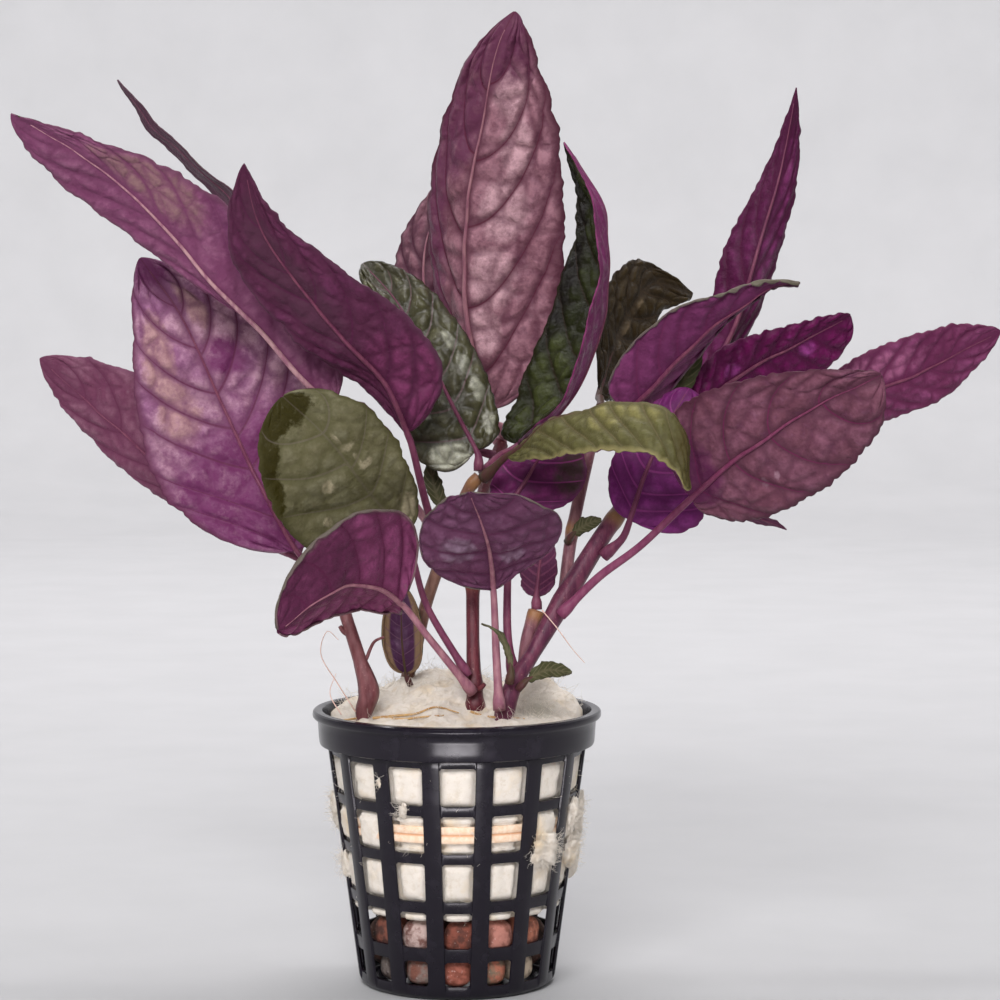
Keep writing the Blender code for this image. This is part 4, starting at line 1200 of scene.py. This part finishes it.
# Its whitish pale patches are painted highlights on the glossy blade, on top of its real gloss.
leaf("leaf_green_glossy", petiole=[(3.9, -2, 92.8), (3.5, -1.5, 95)],
     blade=[(-0.5, 0, 102.5), (-5.5, 3, 112.5), (-11, 7, 121.5), (-17, 12, 128)],
     left=[(-9, -1, -10), (-4.4, -1, -1)], right=[(8, 1, 2.5), (5.6, 1, 4.3)], outline=BROAD, pucker=0.9,
     rib_side=1, veins=(0.06, 0.82, 6, 0.18, 1.4), cell=3.4, stalk_radius=0.65,
     upper=leaf_skin("glossy_green_upper", (85, 83, 55), (65, 61, 42), (47, 45, 28), (94, 57, 63),
         (51, 47, 30), pale=(178, 178, 158), roughness=0.24, vein_share=0.5, gloss=0.45),
     pale=[(0.05, -0.6, 0.10, 0.4), (0.48, 0.6, 0.05, 0.12), (0.36, 0.65, 0.05, 0.14),
         (0.24, 0.7, 0.06, 0.14), (0.1, 0.7, 0.05, 0.18), (0.3, -0.5, 0.05, 0.12)])
leaf("leaf_green_hidden", petiole=[(-2, 2, 81.5), (-2.5, 3, 84)],
     blade=[(-4, 3.5, 88), (-5, 4, 93.5)], left=[(-1.6, 0, 0)], right=[(1.6, 0, 0)], stalk=DARK_STALK,
     stalk_radius=0.5)
leaf("leaf_folded_low", petiole=[(-8.7, -1, 54.3), (-9.1, -1, 55.6)],
     blade=[(-9.7, -1, 60.5), (-9.9, 0, 66), (-10.2, 1, 71)], left=[(3.7, -1.2, 0)], right=[(-3.4, -1, 0)],
     outline=BROAD, stalk=DARK_STALK, roll=(0.5, 1.1), teeth=(5, 0.1), stalk_radius=0.4, vein_width=0.1,
     lower=leaf_skin("folded_low_side", (96, 56, 92), (70, 38, 70), (64, 34, 60), (104, 70, 92),
         (132, 108, 80), pale=(150, 116, 146), rim_from=0.5), pale=[(0.38, 0.0, 0.16, 0.3)])

# Leaves low in front: their stalks rise from the wool and their undersides face forward
leaf("leaf_green_left",
     petiole=[(1.4, -9.3, 57.1), (-5, -9, 68), (-7.5, -9, 76.5), (-9, -9, 81)],
     blade=[(-14.5, -15, 88), (-21.5, -21, 98), (-29.1, -24, 105.5)],
     left=[(-10.5, 0, -8.4), (-13.6, 0, -10.8)], right=[(5.5, -1, 4.3), (9.1, -1, 7.3)], outline=BROAD,
     pucker=0.35, veins=(0.1, 0.72, 4, 0.22, 1.5), cell=3.6, stalk_radius=0.7,
     upper=leaf_skin("olive_green_upper", (121, 117, 91), (103, 98, 71), (91, 88, 58), (121, 109, 104),
         (70, 66, 37), dark=(53, 48, 14), pale=(177, 166, 138), vein_share=0.3, softness=0.35),
     dark=[(1.0, -0.3, 0.15, 1.1), (0.86, -1.0, 0.2, 0.4), (0.68, -1.0, 0.16, 0.22)],
     pale=[(0.66, 0.10, 0.05, 0.06), (0.60, 0.16, 0.02, 0.16), (0.5, 0.20, 0.05, 0.05),
         (0.47, 0.28, 0.02, 0.16), (0.5, -0.35, 0.03, 0.08), (0.34, -0.6, 0.03, 0.06),
         (0.12, 0.6, 0.08, 0.3)])
leaf("leaf_front_left", petiole=[(2.2, -10.4, 54.1), (-4.5, -14, 63), (-9.5, -16, 69.5)],
     blade=[(-14, -23, 73), (-20.5, -31, 73), (-29.5, -36, 67)], left=[(7, -3, 15), (-4, -5, 11)],
     right=[(0, 9, -5)], outline=BROAD, upper=GREY_GREEN, stalk=PINK_STALK, pucker=-0.45, roll=(0.45, 1.0),
     veins=(0.05, 0.8, 5, 0.2, 1.5),
     lower=leaf_skin("purple_front_side", (136, 67, 107), (111, 50, 85), (96, 40, 71), (83, 27, 59),
         (123, 97, 100), dark=(84, 35, 63), pale=(156, 132, 129)), dark=[(0.75, -0.3, 0.3, 0.6)],
     pale=[(0.80, -1.0, 0.24, 0.16)], stalk_radius=0.75)
# Its pale patches are painted grey-lilac sheen.
leaf("leaf_front_centre", petiole=[(7.5, -15, 52), (7, -12, 60.5), (6.5, -11, 71.5)],
     blade=[(5.5, -20, 80.5), (2.5, -29, 89.5)], left=[(6.5, 1, 0), (18.5, 1, 2.5)],
     right=[(-12, -2, -2), (-11, -1, 1)], outline=KITE, upper=GREY_GREEN, stalk=PINK_STALK, pucker=-0.6,
     roll=(0.3, 0.6), veins=(0.12, 0.8, 4, 0.14, 1.3), cell=3.4,
     lower=leaf_skin("violet_front_side", (113, 72, 99), (96, 54, 80), (82, 43, 68), (88, 41, 70),
         (98, 64, 85), pale=(136, 111, 130)), pale=[(0.45, 0.45, 0.12, 0.25), (0.35, -0.35, 0.08, 0.2)])

# Leaves of the tall stem
leaf("leaf_left_narrow", petiole=[(5.5, 16, 93.5), (2, 14, 94.5), (-3.5, 13, 96.5)],
     blade=[(-23, 15, 120), (-41.5, 20, 139.5), (-54.5, 25, 152), (-63, 29, 162)],
     left=[(0.6, -4, 0.5), (1.5, -3, 1.1)], right=[(-1.7, 4.5, -1.8), (-1.7, 4, -1.8)], stalk_radius=0.6,
     lower=leaf_skin("grey_purple_side", (98, 68, 84), (84, 54, 70), (74, 44, 60), (84, 50, 70),
         (80, 54, 66)))
leaf("leaf_centre_tall", petiole=[(8.2, 20.4, 97.4), (5.5, 19, 101.5)],
     blade=[(1.5, 17, 121), (2, 14, 139.5), (5, 11, 155.5), (7, 8, 165.5), (10.3, 6, 172.6)],
     left=[(19.5, -2, 0), (15.5, -2, 0)], right=[(-3.2, 11, 0), (-11.5, 8, 0)], upper=GREY_GREEN,
     stalk=PINK_STALK, veins=(0.08, 0.80, 5, 0.38, 2.0), cell=5.8, pucker=-1.05, teeth=(9, 0.7),
     vein_width=0.24, stalk_radius=0.9, spacing=0.32,
     lower=leaf_skin("pink_puckered_side", (164, 118, 130), (141, 96, 108), (86, 45, 61), (86, 31, 49),
         (74, 34, 48), dark=(98, 50, 75), pale=(200, 158, 166)),
     dark=[(0.95, 0.0, 0.14, 1.2), (0.60, 0.95, 0.45, 0.45), (0.72, 0.35, 0.14, 0.35)],
     pale=[(0.5, -0.4, 0.08, 0.25), (0.33, -0.3, 0.08, 0.25), (0.66, -0.5, 0.08, 0.2),
         (0.80, -0.4, 0.07, 0.3), (0.2, -0.2, 0.06, 0.2)])
leaf("leaf_centre_back", petiole=[(7.4, 23.3, 95.4), (4, 29, 98), (1, 32, 102.5)],
     blade=[(-5.5, 36, 117.5), (-6.5, 39, 130.5), (-2.5, 41, 144)], left=[(9, 3, 0), (7, 3, 0)],
     right=[(-6, 6, 0), (-6, 4, 0)], outline=BROAD, upper=GREY_GREEN, stalk=PINK_STALK, pucker=-0.75,
     lower=leaf_skin("pinkish_grey_side", (142, 101, 111), (115, 72, 88), (71, 39, 53), (70, 31, 49),
         (83, 46, 60)))
leaf("leaf_centre_folded", petiole=[(5.2, 0.2, 91.7), (7.5, 2, 94), (11, 3, 96)],
     blade=[(20, 3, 103.5), (25.5, 3, 116.5), (27, 3.5, 128.5), (25.5, 4, 139.5), (19, 5, 149.5)],
     left=[(-13.8, 3, 0), (-4.5, 2, 0)], right=[(-2.5, -10, 0), (-2.5, -6, 0)],
     lower=leaf_skin("folded_purple_side", (137, 54, 113), (119, 44, 94), (104, 37, 80), (111, 39, 85),
         (127, 55, 99)), pucker=0.75, veins=(0.05, 0.85, 7, 0.24, 1.4), cell=3.6, stalk_radius=0.6,
     upper=leaf_skin("deep_green_upper", (45, 50, 19), (33, 36, 13), (25, 25, 8), (50, 36, 28), (36, 30, 14),
         dark=(19, 14, 10), pale=(69, 75, 39), roughness=0.34, vein_share=0.5),
     dark=[(0.72, -0.9, 0.34, 0.35)], pale=[(0.15, -0.4, 0.12, 0.4), (0.3, -0.55, 0.1, 0.3)])
leaf("leaf_back_olive", petiole=[(25.8, 8.3, 102.1), (26, 17, 103.5), (26, 23, 104.5)],
     blade=[(30, 33, 115.5), (36, 41, 124), (44.5, 47, 122.5)], left=[(-2.5, 0, 10), (-2.5, 0, 5)],
     right=[(3, 0, -7)], stalk=DARK_STALK, pucker=0.75, cell=3.4,
     upper=leaf_skin("dark_olive_upper", (60, 48, 25), (48, 37, 19), (37, 27, 14), (57, 43, 26),
         (40, 30, 16), pale=(115, 98, 74), roughness=0.36), pale=[(0.5, 0.1, 0.2, 0.12)])
leaf("leaf_centre_low",
     petiole=[(9.8, -8.7, 57.5), (9, -6, 63), (9, -3, 71.5), (9.5, -1, 84)],
     blade=[(12.5, 0, 90), (15.5, 0, 95), (18.5, 1, 99.5)], left=[(9, -1, -3)], right=[(-6, 0.8, 0)],
     pucker=-0.68, veins=(0.1, 0.8, 4, 0.2, 1.4),
     lower=leaf_skin("deep_purple_side", (129, 48, 106), (99, 33, 81), (82, 30, 70), (147, 57, 120),
         (108, 44, 90), dark=(71, 50, 52)), dark=[(0.6, -0.8, 0.25, 0.4)])
leaf("leaf_green_arching", petiole=[(5.5, -4, 91), (9, -7, 94.5)],
     blade=[(15.5, -14, 100), (25, -22, 104), (34, -29, 104), (38.5, -31, 99), (39.5, -33, 90.5)],
     left=[(0, 6, -1)], right=[(1, -6, -5), (-4, -6, -11)], stalk=DARK_STALK, pucker=0.6, teeth=(18, 0.25),
     veins=(0.06, 0.85, 8, 0.2, 1.4), cell=3.2,
     upper=leaf_skin("bright_green_upper", (103, 100, 62), (88, 86, 49), (74, 70, 39), (97, 88, 59),
         (149, 140, 94), pale=(132, 126, 76), dark=(74, 66, 36)),
     pale=[(0.5, 0.3, 0.08, 0.3), (0.65, 0.1, 0.08, 0.3)], dark=[(0.9, 0.2, 0.12, 0.8)])

# Leaves of the right shoot
leaf("leaf_right_spear", petiole=[(36.9, 9.7, 98.5), (40.5, 13, 101), (43, 14, 104)],
     blade=[(50, 15, 116), (54.5, 17, 130.5), (59, 19, 146), (61.6, 20, 160)],
     left=[(2.8, 5, 0), (6.4, 4, 0)],
     right=[(-4.5, 5, 0), (-5.2, 4.5, 0), (-6.2, 4, 0), (-4.5, 3.5, 0), (-2.6, 3, 0)], outline=LANCE,
     veins=(0.05, 0.85, 6, 0.3, 1.4), pucker=-0.52,
     lower=leaf_skin("streaked_purple_side", (102, 35, 82), (80, 21, 60), (68, 17, 49), (78, 19, 55),
         (85, 28, 64), pale=(126, 52, 104)), pale=[(0.55, -0.4, 0.3, 0.3)])
leaf("leaf_right_upper", petiole=[(26.2, 3.7, 98.9), (29, 3, 100.5), (31, 2.5, 102)],
     blade=[(41, -2, 113), (49.5, -7, 120.3), (54.5, -9.5, 123.3), (59.5, -12, 124.5)],
     left=[(2.6, 6, -3.6), (-1, 2, 0.6)], right=[(-9.8, -2, 4), (-5.3, -2, 5), (-0.8, -2, 1.8)],
     outline=BROAD, upper=GREY_GREEN, pucker=-0.52, roll=(0.4, 0.9), veins=(0.05, 0.8, 6, 0.28, 1.4),
     lower=leaf_skin("plum_side", (133, 62, 111), (112, 50, 93), (98, 41, 79), (106, 41, 81),
         (114, 90, 103)))
leaf("leaf_right_blunt", petiole=[(36.3, 5.2, 92.5), (39, 7.5, 96.5), (41.5, 9.5, 101)],
     blade=[(51, 12, 108), (60.5, 14, 113), (71.2, 16, 118.8)], left=[(2.6, 4, -5.4), (3.2, 4, -8)],
     right=[(-2.8, -2, 8), (-0.8, -2, 1.8)], outline=BLUNT, pucker=-0.75, veins=(0.05, 0.88, 8, 0.14, 1.4),
     cell=3.0, teeth=(14, 0.35),
     lower=leaf_skin("dark_magenta_side", (114, 24, 87), (94, 18, 70), (76, 14, 57), (86, 15, 62),
         (83, 21, 62), pale=(171, 72, 153), roughness=0.36),
     pale=[(0.72, -0.2, 0.05, 0.2), (0.3, 0.3, 0.05, 0.2)])
leaf("leaf_far_right", petiole=[(33.1, 7.4, 90.1), (47.5, 16, 93), (61, 23, 98)],
     blade=[(74.5, 28, 103.5), (88, 33, 108.5), (102, 38, 115.5)], left=[(2, 3, -4.7), (3.6, 3, -7.2)],
     right=[(-2.3, -2, 5.5), (-3.2, -2, 8.6)], pucker=-0.6, cell=3.0, teeth=(18, 0.25),
     veins=(0.05, 0.88, 8, 0.2, 1.4),
     lower=leaf_skin("mottled_magenta_side", (137, 69, 110), (109, 46, 81), (95, 37, 71), (104, 41, 77),
         (109, 54, 83), pale=(163, 95, 131)), pale=[(0.35, 0.5, 0.3, 0.4)])
# Its two tiny pale patches are painted glints along a vein.
leaf("leaf_front_right",
     petiole=[(19.1, -9.3, 67.6), (25, -10, 73.5), (32, -12, 79), (40.5, -16, 87.5)],
     blade=[(48, -24, 95), (59.5, -31, 103.5), (70.6, -37, 109.5)], left=[(5.8, 4, -8.4), (7.8, 4, -14)],
     right=[(-10, -3, 13.8), (-1.8, -2, 4.2)], outline=BROAD, upper=GREY_GREEN, stalk=MAGENTA_STALK,
     pucker=-0.6, teeth=(22, 0.3), veins=(0.05, 0.72, 4, 0.24, 1.7), cell=4.4, vein_width=0.2,
     lower=leaf_skin("brown_mauve_side", (134, 85, 104), (118, 71, 86), (84, 45, 62), (109, 35, 76),
         (79, 42, 56), dark=(94, 38, 75), pale=(171, 132, 147)), dark=[(0.06, 0.3, 0.14, 0.8)],
     pale=[(0.36, -0.5, 0.015, 0.08), (0.42, -0.5, 0.012, 0.06)])
leaf("leaf_under_arch", petiole=[(26.8, -4.4, 77.4), (29.2, -5.2, 79.8), (30.5, -5.5, 83)],
     blade=[(33, -5, 90.5), (36.5, -4, 98.5), (41, -2, 106)], left=[(13, -2, -6), (8, -1, -3)],
     right=[(-6, 2, 3), (-5, 2, 2)], outline=BROAD, pucker=-0.52,
     lower=leaf_skin("purple_arch_side", (132, 49, 121), (109, 37, 98), (92, 30, 83), (138, 53, 119),
         (112, 44, 96)))
leaf("leaf_right_tip", petiole=[(33.5, 5, 87.5), (41.5, 5, 88.3)],
     blade=[(51.5, 6, 84), (59, 5, 80.5)], left=[(-0.5, 2, -1.6)], right=[(0.5, -1, 1.6)], outline=LANCE,
     stalk_radius=0.6)
leaf("leaf_right_strip", petiole=[(36, 9.5, 100.5), (37, 8, 102)],
     blade=[(40.5, 6.5, 107), (44, 5.5, 113.5)], left=[(-1.6, 0, 0.8)], right=[(1.6, 0, -0.8)], lower=OLIVE,
     stalk=DARK_STALK, stalk_radius=0.5)

# Small young leaves at the nodes and at the wool
leaf("leaflet_right_stem", petiole=[(20.1, -0.1, 79.5), (20.7, -0.9, 80.3)],
     blade=[(23, -2.8, 82.1), (25.4, -5, 83.2)], left=[(-0.7, 0, 1.1)], right=[(0.7, 0, -1.1)],
     outline=BROAD, lower=OLIVE, stalk=DARK_STALK, stalk_radius=0.5, teeth=(8, 0.15))
leaf("leaflet_base_olive", petiole=[(11.6, -13.8, 55.1), (12.6, -14.4, 56.1)],
     blade=[(15.5, -17, 58), (20, -21, 58)], left=[(0, 0.5, 1.5)], right=[(0, -0.5, -1.2)], outline=BROAD,
     lower=OLIVE, stalk=DARK_STALK, stalk_radius=0.5)
leaf("leaflet_base_narrow", petiole=[(9.5, -14.8, 56.6), (9.6, -15.2, 57.9)],
     blade=[(9, -16, 61), (7.5, -17, 64.5), (4.5, -17, 66)], left=[(-0.6, 0, 0)], right=[(0.6, 0, 0)],
     lower=OLIVE, stalk=DARK_STALK, stalk_radius=0.6)
leaf("leaflet_sheath", petiole=[(14.1, -5, 68.5), (14.1, -5, 69.5)],
     blade=[(14.5, -5.5, 74), (15.5, -4.5, 80)], left=[(3.2, 1, 0)], right=[(-3.2, 1, 0)], outline=BROAD,
     upper=PURPLE, stalk_radius=0.7)


# Floor and backdrop
# One seamless pale sheet: a flat floor that curves up into a wall all round, far outside the plant.

SWEEP_PROFILE = [(0.0, 0.0), (1.0, 0.0), (1.12, 0.02), (1.22, 0.08), (1.28, 0.18), (1.3, 0.3), (1.3, 1.7)]
SWEEP_STEPS = 96


def pale_paper():
    skin = Skin("pale_paper", 0.9)
    fibre = skin.ramp(skin.grain(30, 3), 0.3, 0.7)
    skin.set("Base Color", skin.blend(fibre, (175, 176, 176), (179, 180, 180)))
    return skin.material


sweep = grid("floor_sweep", SWEEP_STEPS + 1, len(SWEEP_PROFILE))
turns = [2 * math.pi * column / SWEEP_STEPS for column in range(SWEEP_STEPS + 1)]
shape_mesh(sweep, [(radius * math.cos(turn), radius * math.sin(turn), height)
                   for radius, height in SWEEP_PROFILE for turn in turns])
mend(sweep, merge=0.01 * MM)
sweep.data.materials.append(pale_paper())
sweep.data.shade_smooth()


# Light and camera
# Soft panels above, in front and at the sides, and the camera where the photograph was taken from.

CAMERA_PLACE = (0.00767, -0.560, 0.126)
CAMERA_DOWN = 0.071
CAMERA_LENS = 113.98


def soft_panel(name, place, aim, width, height, power, colour=(1.0, 0.98, 1.0), fan=180):
    """A rectangle of light in metres and watts that shines from its place towards its aim."""
    light = bpy.data.lights.new(name, "AREA")
    light.shape = "RECTANGLE"
    light.size, light.size_y = width, height
    light.energy = power
    light.color = colour
    light.spread = math.radians(fan)
    panel = new_object(name, light)
    panel.location = place
    panel.rotation_euler = (Vector(aim) - Vector(place)).to_track_quat("-Z", "Y").to_euler()
    panel.visible_camera = False


soft_panel("front_panel", (-0.15, -0.80, 0.60), (0, 0, 0.08), 0.5, 0.35, 8.0)
soft_panel("top_panel", (0.1, 0.1, 1.1), (0, 0, 0.05), 0.9, 0.9, 2.5)
soft_panel("wall_panel", (0.0, 0.35, 1.15), (0, 1.3, 0.35), 1.2, 0.3, 19.6, (1.0, 0.965, 1.0))
soft_panel("right_panel", (0.9, 0.0, 0.5), (0, 0, 0.1), 0.5, 0.6, 1.0)
soft_panel("left_panel", (-0.9, 0.0, 0.5), (0, 0, 0.1), 0.5, 0.6, 1.0)
soft_panel("low_card", (0.0, -0.13, 0.010), (0, -0.024, 0.042), 0.077, 0.018, 0.0078, (1.0, 0.95, 1.0), 60)

world = bpy.data.worlds.new("studio")
world.use_nodes = True
backdrop = world.node_tree.nodes["Background"]
backdrop.inputs["Color"].default_value = (0.93, 0.92, 0.95, 1.0)
backdrop.inputs["Strength"].default_value = 0.29
bpy.context.scene.world = world
bpy.context.scene.view_settings.view_transform = "Standard"

lens = bpy.data.cameras.new("camera")
lens.sensor_width = 36
lens.lens = CAMERA_LENS
lens.clip_start = 0.01
camera = new_object("camera", lens)
camera.location = CAMERA_PLACE
camera.rotation_euler = (math.pi / 2 - CAMERA_DOWN, 0, 0)
bpy.context.scene.camera = camera
